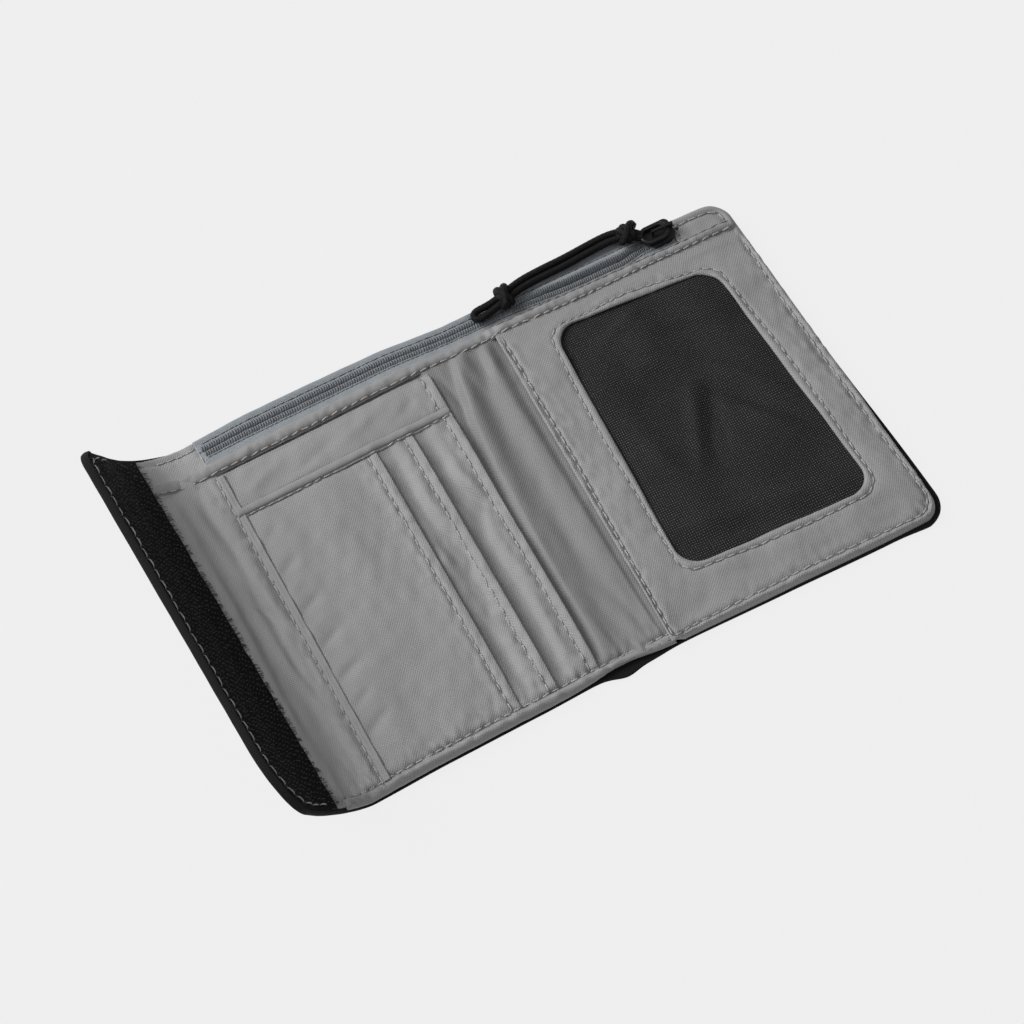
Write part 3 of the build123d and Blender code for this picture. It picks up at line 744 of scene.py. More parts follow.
def woven(
    name, level, tint=(1, 1, 1), rib=0.806, pick=0.948, depth=0.00007, spread=0.17, rough=0.62, sheen=0.2
):
    """Plain-woven cloth: warp and weft cross in turn, in uneven yarns, under broad soft patches that are
    partly a change of tone and partly painted shade.
    """
    n = Nodes(name)
    vector, u, v = n.pattern()
    wobble = n.maths("MULTIPLY", n.noise(vector, 0.30, 2), 0.5)
    cloth = n.maths("MULTIPLY", n.wave(u, TURN / rib, wobble), n.wave(v, TURN / pick, wobble))
    grain = n.noise(vector, 2.6, 4, 0.7)
    height = n.maths("ADD", n.maths("MULTIPLY", cloth, 0.6), n.maths("MULTIPLY", grain, 0.8))
    # broad noise in the colour: partly a slow change of tone, partly painted soft shade over the cloth's
    # wrinkles
    tone_and_soft_shade = n.noise(vector, 0.045, 3)
    factor = n.maths("MULTIPLY_ADD", cloth, 0.30, n.maths("MULTIPLY_ADD", grain, 0.35, 0.12))
    factor = n.maths("ADD", factor, n.maths("MULTIPLY", tone_and_soft_shade, 0.40))
    dark, light = shade(level * (1 - spread), tint), shade(level * (1 + spread), tint)
    colour = n.ramp(factor, ((0.15, dark), (0.85, light)))
    roughness = n.maths("MULTIPLY_ADD", grain, 0.16, rough - 0.08)
    cloth_finish = {"Sheen_Weight": sheen, "Sheen_Roughness": 0.45, "Specular_IOR_Level": 0.3}
    return n.finish(colour, roughness, n.bump(height, depth), **cloth_finish)


def sewing_thread(name, level, spread, rough):
    """Twisted thread, far finer than the cloth."""
    return woven(name, level, rib=0.25, pick=0.3, depth=0.00003, spread=spread, rough=rough)


def net(name):
    """Knitted net: knots on a close grid, every other one prouder, with dark holes between; each knot is
    painted lighter as a highlight, and broad patches of painted shade stand for the net's drape.
    """
    n = Nodes(name)
    vector, u, v = n.pattern()
    wobble = n.maths("MULTIPLY", n.noise(vector, 0.25, 2), 0.5)
    both = n.maths("MULTIPLY", n.wave(u, TURN * 0.76, wobble), n.wave(v, TURN * 0.69, wobble))
    knots = n.maths("MULTIPLY", n.maths("MULTIPLY", both, both), n.maths("MULTIPLY_ADD", both, 0.12, 0.88))
    uneven = n.noise(vector, 1.3, 3, 0.7)
    # broad noise in the colour: painted shade for the drape's folds
    tone_and_soft_shade = n.noise(vector, 0.05, 2)
    # each knot painted lighter: a painted highlight
    knot_highlight = n.maths("MULTIPLY", knots, n.maths("MULTIPLY_ADD", uneven, 1.6, 0.1))
    factor = n.maths("ADD", knot_highlight, n.maths("MULTIPLY_ADD", tone_and_soft_shade, 0.3, -0.14))
    colour = n.ramp(factor, ((0.0, shade(0.0035)), (0.30, shade(0.012)), (0.85, shade(0.105))))
    normal = n.bump(knots, 0.00016, 0.9)
    return n.finish(colour, 0.75, normal, Sheen_Weight=0.0, Specular_IOR_Level=0.22)


def coarse_black(name, level, pitch, gloss=0.55, depth=0.00008):
    """Black yarn or woven tape, with dull highlights."""
    n = Nodes(name)
    vector, u, v = n.pattern()
    twill = n.wave(v, TURN / (pitch * 0.8), n.maths("MULTIPLY", u, 0.5))
    yarns = n.maths("MULTIPLY", n.wave(u, TURN / pitch), twill)
    grain = n.noise(vector, 3.0, 4, 0.7)
    height = n.maths("ADD", n.maths("MULTIPLY", yarns, 0.5), grain)
    colour = n.ramp(grain, ((0.3, shade(level * 0.6)), (0.75, shade(level * 1.6))))
    roughness = n.maths("MULTIPLY_ADD", grain, 0.3, gloss - 0.15)
    return n.finish(colour, roughness, n.bump(height, depth), Sheen_Weight=0.0, Specular_IOR_Level=0.2)


def worn_metal(name, level, gloss):
    """Painted or plated metal, with the finish worn lighter in specks."""
    n = Nodes(name)
    at = n.object_place()
    specks = n.noise(at, 900, 4, 0.6)
    broad_tone = n.noise(at, 120, 2)
    factor = n.maths("ADD", n.maths("MULTIPLY", specks, 0.6), n.maths("MULTIPLY", broad_tone, 0.4))
    colour = n.ramp(factor, ((0.35, shade(level)), (0.62, shade(level * 1.5)), (0.75, shade(level * 4))))
    roughness = n.maths("MULTIPLY_ADD", broad_tone, 0.25, gloss)
    return n.finish(colour, roughness, n.bump(specks, 0.00002, 0.6), Metallic=0.35, Specular_IOR_Level=0.6)


def foil(name):
    """Thin shielding foil with fine creases."""
    n = Nodes(name)
    at = n.object_place()
    crease = n.noise(at, 160, 5, 0.65)
    colour = n.ramp(crease, ((0.3, shade(0.42, (1, 0.98, 0.95))), (0.7, shade(0.62, (1, 0.98, 0.95)))))
    return n.finish(colour, n.maths("MULTIPLY_ADD", crease, 0.25, 0.2), n.bump(crease, 0.0003), Metallic=0.9)


def plastic(name, level, tint, gloss):
    """Moulded nylon, slightly uneven."""
    n = Nodes(name)
    at = n.object_place()
    grain = n.noise(at, 1500, 3)
    colour = n.ramp(grain, ((0.3, shade(level * 0.8, tint)), (0.7, shade(level * 1.2, tint))))
    roughness = n.maths("MULTIPLY_ADD", grain, 0.2, gloss)
    return n.finish(colour, roughness, n.bump(grain, 0.00002), Specular_IOR_Level=0.5)


# a lighter copy of the grey cloth for the linings: painted light, which lifts the shade on the lining that
# curls up beside the flap
LIT_LINING = woven("lit_lining_cloth", 0.285)
PANEL = woven("panel_cloth", 0.235)
# a darker copy of the grey cloth for the spine: painted shade, added to the shade of its folds
SHADED_SPINE_CLOTH = woven("shaded_spine_cloth", 0.185)
FOLD = woven("folded_cloth", 0.225, depth=0.00004, spread=0.10)
TAPE = woven(
    "zip_tape_cloth", 0.262, (0.92, 1.0, 1.08), rib=0.9, pick=0.45, depth=0.00009, spread=0.2, rough=0.7)
SHELL_CLOTH = woven(
    "shell_cloth", 0.0032, (1, 1, 1.03), rib=0.8, pick=0.8, depth=0.0001, spread=0.35, rough=0.85, sheen=0.0)
NET = net("window_net")
HOOK_BASE = coarse_black("hook_tape", 0.0018, 0.9, 0.85)
HOOK_WIRE = plastic("hook_nylon", 0.045, (1, 1, 1), 0.38)
LOOP_PILE = plastic("loop_pile", 0.008, (1, 1, 1), 0.6)
CORD_YARN = coarse_black("cord_yarn", 0.0030, 0.5, 0.55, 0.00012)
THREAD = sewing_thread("grey_thread", 0.33, 0.12, 0.5)
SHADED_THREAD = sewing_thread("shaded_thread", 0.13, 0.12, 0.6)
PALE_THREAD = sewing_thread("pale_thread", 0.30, 0.3, 0.5)
DARK_THREAD = sewing_thread("dark_thread", 0.035, 0.2, 0.6)
# dark grey cloth for the spots at the stitch ends: painted shade in the needle holes
HOLE_SHADE = woven("painted_hole_shade", 0.10, rib=0.3, pick=0.3, depth=0.00002, spread=0.4, rough=0.9, sheen=0.0)
COIL = plastic("coil_nylon", 0.13, (0.93, 1.0, 1.08), 0.5)
METAL = worn_metal("black_metal", 0.006, 0.30)
FOIL = foil("shield_foil")


def across_spine(piece, slot, *nodes):
    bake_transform(piece)
    return stand_for(piece, nodes)


def across_flap(piece, slot, *nodes):
    start = place(CURL_START - TIGHT_LENGTH - 0.30 * WIDE_LENGTH, 0, SHELL)
    end = place(CURL_START - TIGHT_LENGTH - WIDE_LENGTH - 4.0, 0, SHELL)
    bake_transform(piece)
    return stand_for(piece, nodes)


def on_body(piece, body, slot, *nodes):
    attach(piece, body)
    return stand_for(piece, nodes)


def on_card(piece, slot, *nodes):
    return on_body(piece, "card_side", slot, *nodes)


def on_id(piece, slot, *nodes):
    return on_body(piece, "id_side", slot, *nodes)


def stand_for(piece, nodes):
    if nodes:
        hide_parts(*nodes)
    return piece


# ---------------------------------------------------------------- camera, floor and light
def face(thing, direction):
    """Turns a camera or light to look along direction."""
    thing.rotation_mode = "QUATERNION"
    thing.rotation_quaternion = direction.to_track_quat("-Z", "Y")


def make_camera():
    data = bpy.data.cameras.new("camera")
    data.lens = 97.6
    data.sensor_width = 36.0
    camera = bpy.data.objects.new("camera", data)
    bpy.context.scene.collection.objects.link(camera)
    target = Vector((-10.15, -2.8, 3.0)) * MM
    azimuth, elevation, distance = math.radians(-28.4), math.radians(65.6), 779 * MM
    back = Vector((
        math.sin(azimuth) * math.cos(elevation),
        -math.cos(azimuth) * math.cos(elevation),
        math.sin(elevation),
    ))
    camera.location = target + back * distance
    face(camera, -back)
    bpy.context.scene.camera = camera


def area_light(name, place_mm, size, watts):
    """A square softbox that faces the wallet's middle."""
    data = bpy.data.lights.new(name, "AREA")
    data.shape = "SQUARE"
    data.size = size
    data.energy = watts
    light = bpy.data.objects.new(name, data)
    bpy.context.scene.collection.objects.link(light)
    light.location = Vector(place_mm) * MM
    face(light, -light.location)


def make_studio():
    """A plain pale floor that gives a faint contact shadow, a pale surround and two softboxes."""
    scene = bpy.context.scene
    scene.view_settings.view_transform = "Standard"
    world = bpy.data.worlds.new("studio")
    world.use_nodes = True
    background = world.node_tree.nodes["Background"]
    background.inputs["Color"].default_value = (0.9, 0.9, 0.9, 1)
    background.inputs["Strength"].default_value = 0.26
    scene.world = world

    half = 3.0
    drop = -0.0002
    corners = [(-half, -half, drop), (half, -half, drop), (half, half, drop), (-half, half, drop)]
    mesh = bpy.data.meshes.new("floor")
    mesh.from_pydata(corners, [], [(0, 1, 2, 3)])
    floor = bpy.data.objects.new("floor", mesh)
    scene.collection.objects.link(floor)
    material = bpy.data.materials.new("pale_floor")
    material.use_nodes = True
    shader = material.node_tree.nodes["Principled BSDF"]
    settings = {
        "Base Color": (0.025, 0.025, 0.025, 1), "Roughness": 0.9, "Specular IOR Level": 0.0,
        "Emission Color": (1, 1, 1, 1), "Emission Strength": 0.833,
    }
    for socket, value in settings.items():
        shader.inputs[socket].default_value = value
    mesh.materials.append(material)
    area_light("key", (-1600, 1250, 1560), 1.6, 89.0)
    area_light("top", (150, -500, 1500), 1.2, 4.0)


# ---------------------------------------------------------------- the cord and its knots
CORD_ROUTE = (
    (64.6, 55.5, 5.7), (62.3, 57.0, 6.2), (58.8, 58.5, 5.9), (55.3, 59.2, 5.4), (48.6, 59.0, 5.1),
    (40.6, 58.4, 5.0), (32.2, 58.4, 5.0), (25.6, 57.9, 5.2), (20.0, 56.3, 5.9), (15.2, 55.2, 5.4),
    (9.2, 54.3, 5.0), (9.2, 57.4, 5.0), (15.0, 57.3, 5.4), (20.0, 58.3, 5.9), (25.8, 60.1, 5.3),
    (33.0, 60.7, 5.0), (41.2, 60.7, 5.1), (49.2, 61.3, 5.0), (55.9, 61.4, 5.4), (60.2, 60.2, 6.0),
    (62.8, 58.6, 6.2), (64.6, 57.0, 5.7),
)
CORD_WIDTH = 2.15
# the upper knot and the lower one: CAD node, centre, heading of its axis, length, breadth, height, turns
KNOTS = (
    ("upper_knot", "pull_knot_upper", (61.4, 58.7, 6.3), 0.10, 7.2, 6.6, 5.2, 2.35, 0.6),
    ("lower_knot", "pull_knot_lower", (19.8, 57.3, 6.0), 0.25, 5.8, 7.8, 5.2, 1.95, 2.4),
)


def smooth_line(route):
    """Points along the smooth line that a route's points (mm) control."""
    data = bpy.data.curves.new("line", "CURVE")
    data.dimensions = "3D"
    data.resolution_u = 40
    spline = data.splines.new("NURBS")
    spline.points.add(len(route) - 1)
    for point, at in zip(spline.points, route):
        point.co = (*(Vector(at) * MM), 1)
    spline.order_u = 3
    spline.use_endpoint_u = True
    holder = bpy.data.objects.new("line", data)
    line = bpy.data.meshes.new_from_object(holder)
    found = np.array([v.co for v in line.vertices])
    bpy.data.objects.remove(holder)
    bpy.data.meshes.remove(line)
    return found


def braid(length, angle):
    """Surface of a finely braided cord: two sets of yarns crossing."""
    turn = length / MM * TURN / 3.0
    yarns = np.maximum(np.cos(8 * angle + 2 * turn), np.cos(8 * angle - 2 * turn))
    return 0.96 + 0.06 * yarns


def knot_strands(length, breadth, height, turns, phase, width):
    """Lines of an overhand knot pulled up round two strands: close wraps, and a strand crossing over them."""
    t = np.linspace(0, 1, 170)
    turn = TURN * turns * t + phase
    tuck = 1 - 0.55 * (hill(t, 0, 0.05) + hill(t, 1, 0.05))
    bulge = 0.82 + 0.18 * np.sin(math.pi * t)
    wraps = np.stack([
        (t - 0.5) * (length - 2 * width) + 0.35 * np.sin(turn * 0.5),
        np.sin(turn) * (breadth / 2 - width) * tuck * bulge,
        -np.cos(turn) * (height / 2 - width) * tuck * bulge,
    ], -1)
    t = np.linspace(0, 1, 60)
    over = np.stack([
        (t - 0.5) * (length - 1.2 * width),
        -np.cos(math.pi * t) * (breadth / 2 - 1.4 * width),
        np.sin(math.pi * t) ** 0.6 * (height / 2 - 0.25 * width) - 0.4,
    ], -1)
    return wraps, over


def make_cord():
    line = smooth_line(CORD_ROUTE)
    points, faces, pattern = rope(line, CORD_WIDTH / 2 * MM, 32, braid)
    cord = make_object("braided_cord", points, faces, pattern, [CORD_YARN])
    on_body(cord, "pull", "cord", "pull_cord")
    for name, node, centre, heading, length, breadth, height, turns, phase in KNOTS:
        width = 1.15
        points, faces, pattern = [], [], []
        for strand in knot_strands(length, breadth, height, turns, phase, width):
            along = strand[:, 0] * math.cos(heading) - strand[:, 1] * math.sin(heading)
            across = strand[:, 0] * math.sin(heading) + strand[:, 1] * math.cos(heading)
            strand = (np.stack([along, across, strand[:, 2]], -1) + centre) * MM
            skin, quads, uv = rope(strand, width * MM, 26, braid)
            faces += [tuple(i + sum(map(len, points)) for i in quad) for quad in quads]
            points.append(skin)
            pattern.append(uv)
        knot = make_object(name, np.concatenate(points), faces, np.concatenate(pattern), [CORD_YARN])
        on_body(knot, "pull", "cord", node)


# ---------------------------------------------------------------- outer shell and flap
def corner_pull(reach, radius):
    """How far a rounded corner draws an edge in, reach past the start of its bend."""
    return radius - np.sqrt(np.clip(radius**2 - reach**2, 0, None))


def round_right(u, v):
    """Pulls a rectangular grid's right-hand columns in, to round the ID side's two outer corners."""
    rise = np.clip(np.abs(v) - (HALF_HEIGHT - CORNER), 0, CORNER)
    share = np.clip((u - (ID_EDGE - 20)) / 20, 0, 1)
    return u - corner_pull(rise, CORNER) * share, v


def shell_outline(u, v):
    """The shell's real edge: it works out past the lining at the spine and towards the lower right corner."""
    u, v = round_right(u, v)
    below = ease(-v, 50, HALF_HEIGHT)
    right = ease(-v, -14, 50) * ease(u, ID_EDGE - 9, ID_EDGE)
    slack = 0.35 * ease(u, 14, 80) + 1.9 * hill(u, -4.5, 5.0) + 0.7 * hill(u, 4.0, 6.0)
    return u + 1.5 * right, v - (slack + 0.8 * ease(u, 76, ID_EDGE - 4)) * below


def tip_pull(v, inset):
    """How far the flap's tip draws back at v: a small corner above, a long one below."""
    reach = np.where(v > 0, TIP_CORNER, 20.0) - 0.6 * inset
    depth = np.where(v > 0, TIP_CORNER, 12.0) - 0.5 * inset
    rise = np.clip(np.abs(v) - (HALF_HEIGHT - inset - reach), 0, reach)
    return depth * (1 - np.sqrt(np.clip(1 - (rise / reach) ** 2, 0, 1)))


def round_tip(u, v):
    """Pulls the flap grid's left-hand columns in, to round the flap's tip."""
    return u + tip_pull(v, 0) * np.clip((FLAP_TIP + 20 - u) / 20, 0, 1), v


def shell_thickness(u, v):
    """The shell is pressed in where the loop strip is sewn on below."""
    along = ease(u, LOOP_LOW.x - 0.6, LOOP_LOW.x) * ease(-u, -LOOP_HIGH.x - 0.6, -LOOP_HIGH.x)
    up = ease(v, LOOP_LOW.y - 0.6, LOOP_LOW.y) * ease(-v, -LOOP_HIGH.y - 0.6, -LOOP_HIGH.y)
    return SHELL - 0.62 * along * up


def flap_shell_height(u, v):
    """The flap's shell: its hem is rolled thicker along the tip and the ends."""
    tip = FLAP_TIP + tip_pull(v, 0)
    roll = 1.5 * hill(u - tip, 0.9, 0.8) - 0.5 * hill(u - tip, 0.15, 0.3)
    roll = roll * ease(-u, -CURL_START, -CURL_START + 8)
    ends = 0.9 * hill(HALF_HEIGHT - np.abs(v), 0.7, 0.8) * ease(-u, -CURL_START, -CURL_START + 14)
    return SHELL + np.maximum(roll, ends) + 0.05 * fine(u, v) * ease(-u, -CURL_START, -CURL_START + 5)


def make_shell():
    seams = (-HALF_HEIGHT + 2.5, HALF_HEIGHT - 2.5)
    v_lines = lines(-HALF_HEIGHT, HALF_HEIGHT, 1.0, seams)
    u_lines = lines(CURL_START, ID_EDGE, 1.0, (LOOP_LOW.x, LOOP_HIGH.x))
    shell = panel(
        "outer_shell", u_lines, v_lines, shell_height, shell_thickness, SHELL_CLOTH, shell_outline, plain="l")
    across_spine(shell, "shell_fabric", "card_outer_shell", "spine_outer_shell", "id_outer_shell")
    u_lines = lines(FLAP_TIP, CURL_START, 0.8, (FLAP_TIP + 2.4,))
    # its thickness is its height, so that its underside stays level
    top = flap_shell_height
    flap = panel("flap_shell", u_lines, v_lines, top, top, SHELL_CLOTH, round_tip, plain="r")
    across_flap(flap, "shell_fabric", "riser_outer_shell", "flap_outer_shell")


def make_linings():
    """The note compartment's two linings, hidden but for the spine, and the lining that runs up the flap."""
    v_lines = lines(-HALF_HEIGHT + 1.5, HALF_HEIGHT - 1.2, 2.0)
    u_lines = lines(CURL_START, ID_EDGE - 2, 0.8)
    low, high = box_mm("card_rear_lining")
    rear = panel(
        "rear_lining", u_lines, v_lines, lambda u, v: high.z + 0 * u, high.z - low.z, LIT_LINING, round_right)
    across_spine(rear, "lining_fabric", "card_rear_lining", "spine_rear_lining", "id_rear_lining")

    def front_height(u, v):
        under = 2.6 - 0.55 * ease(u, SEAM + 2, SEAM + 5) * ease(-u, -SPINE_LEFT - 1, -SPINE_LEFT + 3)
        share = ease(u, SPINE_LEFT - 3, SPINE_LEFT - 1) * ease(-u, -FRAME_LEFT - 3, -FRAME_LEFT - 1)
        return under + (spine_height(u, v) - under) * share

    v_lines = lines(-HALF_HEIGHT + 1.5, FACING_HIGH - 1, 0.8, (HEM_STITCH,))
    u_lines = np.concatenate([
        lines(SEAM - 1, SPINE_LEFT - 4, 3.0),
        lines(SPINE_LEFT - 3.5, FRAME_LEFT + 3.5, 0.5),
        lines(FRAME_LEFT + 4, ID_EDGE - 2, 3.0),
    ])
    # the spine's visible cloth takes the darker copy of the grey cloth: painted shade
    front = panel("compartment_front", u_lines, v_lines, front_height, 0.4, SHADED_SPINE_CLOTH, round_right)
    across_spine(
        front, "lining_fabric", "card_compartment_front", "spine_front_panel", "id_compartment_front")

    top = HALF_HEIGHT - 0.9
    v_lines = lines(-HALF_HEIGHT + 1.2, top, 0.8, (HEM_STITCH, top - 2.2, FACING_LOW, FACING_HIGH))
    u_lines = lines(HOOK_START - 4, ZIP_LEFT, 0.55, (SEAM,))
    # the lining left of the slots takes the lighter copy of the grey cloth: painted light
    lining = panel("left_lining", u_lines, v_lines, lining_height, 0.5, LIT_LINING)
    across_flap(lining, "lining_fabric", "riser_lining", "flap_lining", "zip_end_tab_left")


# ---------------------------------------------------------------- card slots
# (u, height) knots of the surface at the hem's stitch line
HEM_KNOTS = (
    (-96, 2.1), (-88, 2.6), (-80, 3.3), (-76, 4.35), (-38, 4.35), (-33.5, 3.85), (-26.5, 3.8), (-21.5, 3.3),
    (-14, 3.25), (-9, 2.75), (6, 2.55), (12, 2.9),
)


def hem_height(u, v):
    """The turned-in hem: it rises from the stitch line and rolls down to the shell's edge."""
    base = through(u, HEM_KNOTS)
    t = np.clip((HEM_STITCH - v) / (HALF_HEIGHT + HEM_STITCH), 0, 1)
    roll = np.clip((t - 0.55) / 0.45, 0, 1)
    drop = (base - 1.5) * (1 - np.sqrt(np.clip(1 - roll**2, 0, 1)))
    folds = 0.22 * sum(hill(u, mouth - 1.0, 1.3) for mouth in (MOUTH_FRONT, MOUTH_MIDDLE, MOUTH_REAR, SEAM))
    wrinkles = 0.10 * fine(u, v) + 0.20 * hem_ripples(u + v, v) * np.sin(math.pi * np.clip(t, 0, 1))
    return base - 0.32 + 0.75 * np.sin(math.pi * np.clip(t, 0, 1) ** 0.7) ** 0.8 - drop + folds + wrinkles


def hem_outline(u, v):
    """The hem draws in where the soft spine pulls it."""
    t = np.clip((HEM_STITCH - v) / (HALF_HEIGHT + HEM_STITCH), 0, 1)
    return u, v + t * (0.35 + 1.1 * hill(u, -4, 9))


# (u, height) knots of the stepped slots under the binding
BINDING_KNOTS = ((-80, 4.0), (-77, 4.35), (-37, 4.55), (-34.5, 4.05), (-25.5, 3.95), (-23, 3.45), (-11, 3.4))


def binding_height(u, v):
    base = through(u, BINDING_KNOTS)
    across = np.clip((v - SLOT_TOP + 2.4) / 2.6, 0, 1) * 2 - 1
    return base + 0.1 + 0.85 * np.sqrt(np.clip(1 - across**2, 0, 1)) + 0.09 * fine(u, v)


def seam_strip_height(u, v):
    base = 3.4 + 0.9 * ease(-v, -SLOT_TOP - 2, -SLOT_TOP + 3)
    across = np.clip((u - SEAM) / 2.7, 0, 1)
    edge = 0.22 * hill(u, SEAM + 2.35, 0.5)
    return base - 0.3 + 0.6 * ease(across, 0, 0.5) + edge + 0.08 * fine(u, v) + 0.12 * tall(v, u * 9) * across


def tucked(height, edge, base):
    """A slot's surface, pressed flat left of edge, where the next slot covers it."""
    def top(u, v):
        found = height(u, v)
        under = ease(-u, -edge + 0.2, -edge + 1.2) * (v < SLOT_TOP - 1)
        return found + (np.minimum(found, base - 0.75) - found) * under

    return top


def make_card_side():
    low = -HALF_HEIGHT + 2.0
    middle_top = tucked(middle_slot_height, MOUTH_FRONT, MIDDLE_TOP)
    rear_top = tucked(rear_slot_height, MOUTH_MIDDLE, REAR_TOP)
    # name, CAD node, surface, mouth, the row beside it, top edge, the row or edge below that
    for name, node, top, mouth, stitch, high, row in (
        ("front_slot", "card_slot_front", front_slot_height, MOUTH_FRONT, FRONT_ROW, SLOT_TOP, SLOT_ROW),
        ("middle_slot", "card_slot_middle", middle_top, MOUTH_MIDDLE, MIDDLE_ROW, SLOT_TOP, SLOT_ROW),
        ("rear_slot", "card_slot_rear", rear_top, MOUTH_REAR, REAR_ROW, PANEL_TOP + 1, SLOT_TOP),
    ):
        u_lines = lines(SEAM + 0.3, mouth, 0.7, (stitch,))
        piece = panel(name, u_lines, lines(low, high, 0.8, (HEM_STITCH, row)), top, 0.4, PANEL)
        on_card(piece, "lining_fabric", node)

    u_lines = lines(SEAM + 0.5, SPINE_LEFT, 0.8, (MOUTH_FRONT, MOUTH_MIDDLE))
    v_lines = lines(SLOT_TOP - 3.0, SLOT_TOP + 0.25, 0.25)
    piece = panel("slot_binding", u_lines, v_lines, binding_height, 0.6, FOLD)
    on_card(piece, "lining_fabric", "card_slot_binding")

    u_lines = lines(SEAM - 0.1, SEAM + 2.65, 0.25)
    v_lines = lines(HEM_STITCH - 0.6, PANEL_TOP + 0.6, 0.8)
    piece = panel("side_seam_strip", u_lines, v_lines, seam_strip_height, 0.5, FOLD)
    on_card(piece, "lining_fabric", "card_side_seam_strip")

    u_lines = lines(-94, FRAME_LEFT + 1.5, 0.6, (MOUTH_FRONT, MOUTH_MIDDLE, MOUTH_REAR))
    v_lines = lines(-HALF_HEIGHT, HEM_STITCH - 0.1, 0.3)
    piece = panel(
        "bottom_hem", u_lines, v_lines, hem_height, lambda u, v: hem_height(u, v) - 1.15, FOLD, hem_outline)
    across_spine(piece, "lining_fabric", "card_bottom_hem", "spine_bottom_hem")


# ---------------------------------------------------------------- ID side
def corner_loop(corners, radii, along, up, bend):
    """A closed loop of (u, v) points round four corners (low left, low right, top right, top left)."""
    found = []
    inward = ((1, 1), (-1, 1), (-1, -1), (1, -1))
    onward = ((1, 0), (0, 1), (-1, 0), (0, -1))
    for i, ((cu, cv), radius) in enumerate(zip(corners, radii)):
        centre_u, centre_v = cu + inward[i][0] * radius, cv + inward[i][1] * radius
        for t in np.linspace(math.pi + i * math.pi / 2, math.pi + (i + 1) * math.pi / 2, bend):
            found.append((centre_u + radius * math.cos(t), centre_v + radius * math.sin(t)))
        (next_u, next_v), turn = corners[(i + 1) % 4], radii[(i + 1) % 4]
        next_u, next_v = next_u - onward[i][0] * turn, next_v - onward[i][1] * turn
        last_u, last_v = found[-1]
        count = (along, up)[i % 2]
        for t in np.arange(1, count) / count:
            found.append((last_u + (next_u - last_u) * t, last_v + (next_v - last_v) * t))
    return np.array(found)


# points along the loop's long sides, up its short ones and round each corner
LOOP_COUNTS = (76, 112, 18)
WINDOW_CORNERS = (
    (WINDOW_LEFT, WINDOW_LOW_LEFT), (WINDOW_RIGHT, WINDOW_LOW_RIGHT),
    (WINDOW_RIGHT, WINDOW_TOP_RIGHT), (WINDOW_LEFT, WINDOW_TOP_LEFT),
)
FRAME_CORNERS = (
    (FRAME_LEFT, GREY_LOW), (GREY_EDGE, GREY_LOW), (GREY_EDGE, FRAME_HIGH), (FRAME_LEFT, FRAME_HIGH),
)


def edge_stitch(u):
    """Distance of the frame's outer stitching from its edge: closer on the left, where there is no hem."""
    return NEAR_STITCH + (EDGE_STITCH - NEAR_STITCH) * ease(u, FRAME_LEFT + 3, FRAME_LEFT + 9)


def edge_drop(u, v, surface):
    """How far the grey hem has rolled down at this distance from the ID side's outer edge."""
    reach_v = np.abs(v) - (-GREY_LOW - GREY_CORNER)
    reach_u = u - (GREY_EDGE - GREY_CORNER)
    round_part = GREY_CORNER - np.hypot(np.maximum(reach_u, 0), np.maximum(reach_v, 0))
    straight = np.minimum(GREY_EDGE - u, -GREY_LOW - np.abs(v))
    distance = np.where((reach_u > 0) & (reach_v > 0), round_part, straight)
    roll = np.clip(1 - distance / 1.5, 0, 1)
    return distance, (surface - 1.9) * (1 - np.sqrt(np.clip(1 - roll**2, 0, 1)))


NET_FOLDS = (
    ((54.5, 10), (43, -17), 2.4, 0.85), ((60, 9), (49, -18), 2.4, -0.65), ((42, 23), (60, 15), 2.6, 0.75),
    ((58, 16.5), (80, -8), 2.8, 0.85), ((43, 17), (58, 9), 2.2, -0.55), ((57, 8), (77, -16), 2.4, -0.55),
    ((28, -29), (76, -37), 3.0, 0.75), ((28, -35), (76, -44), 2.4, -0.55), ((46, 34), (78, 24), 2.6, 0.65),
    ((60, 0), (76, -20), 2.2, 0.45), ((32, 8), (38, -18), 3.0, 0.45), ((36, 32), (56, 38), 2.0, 0.50),
)


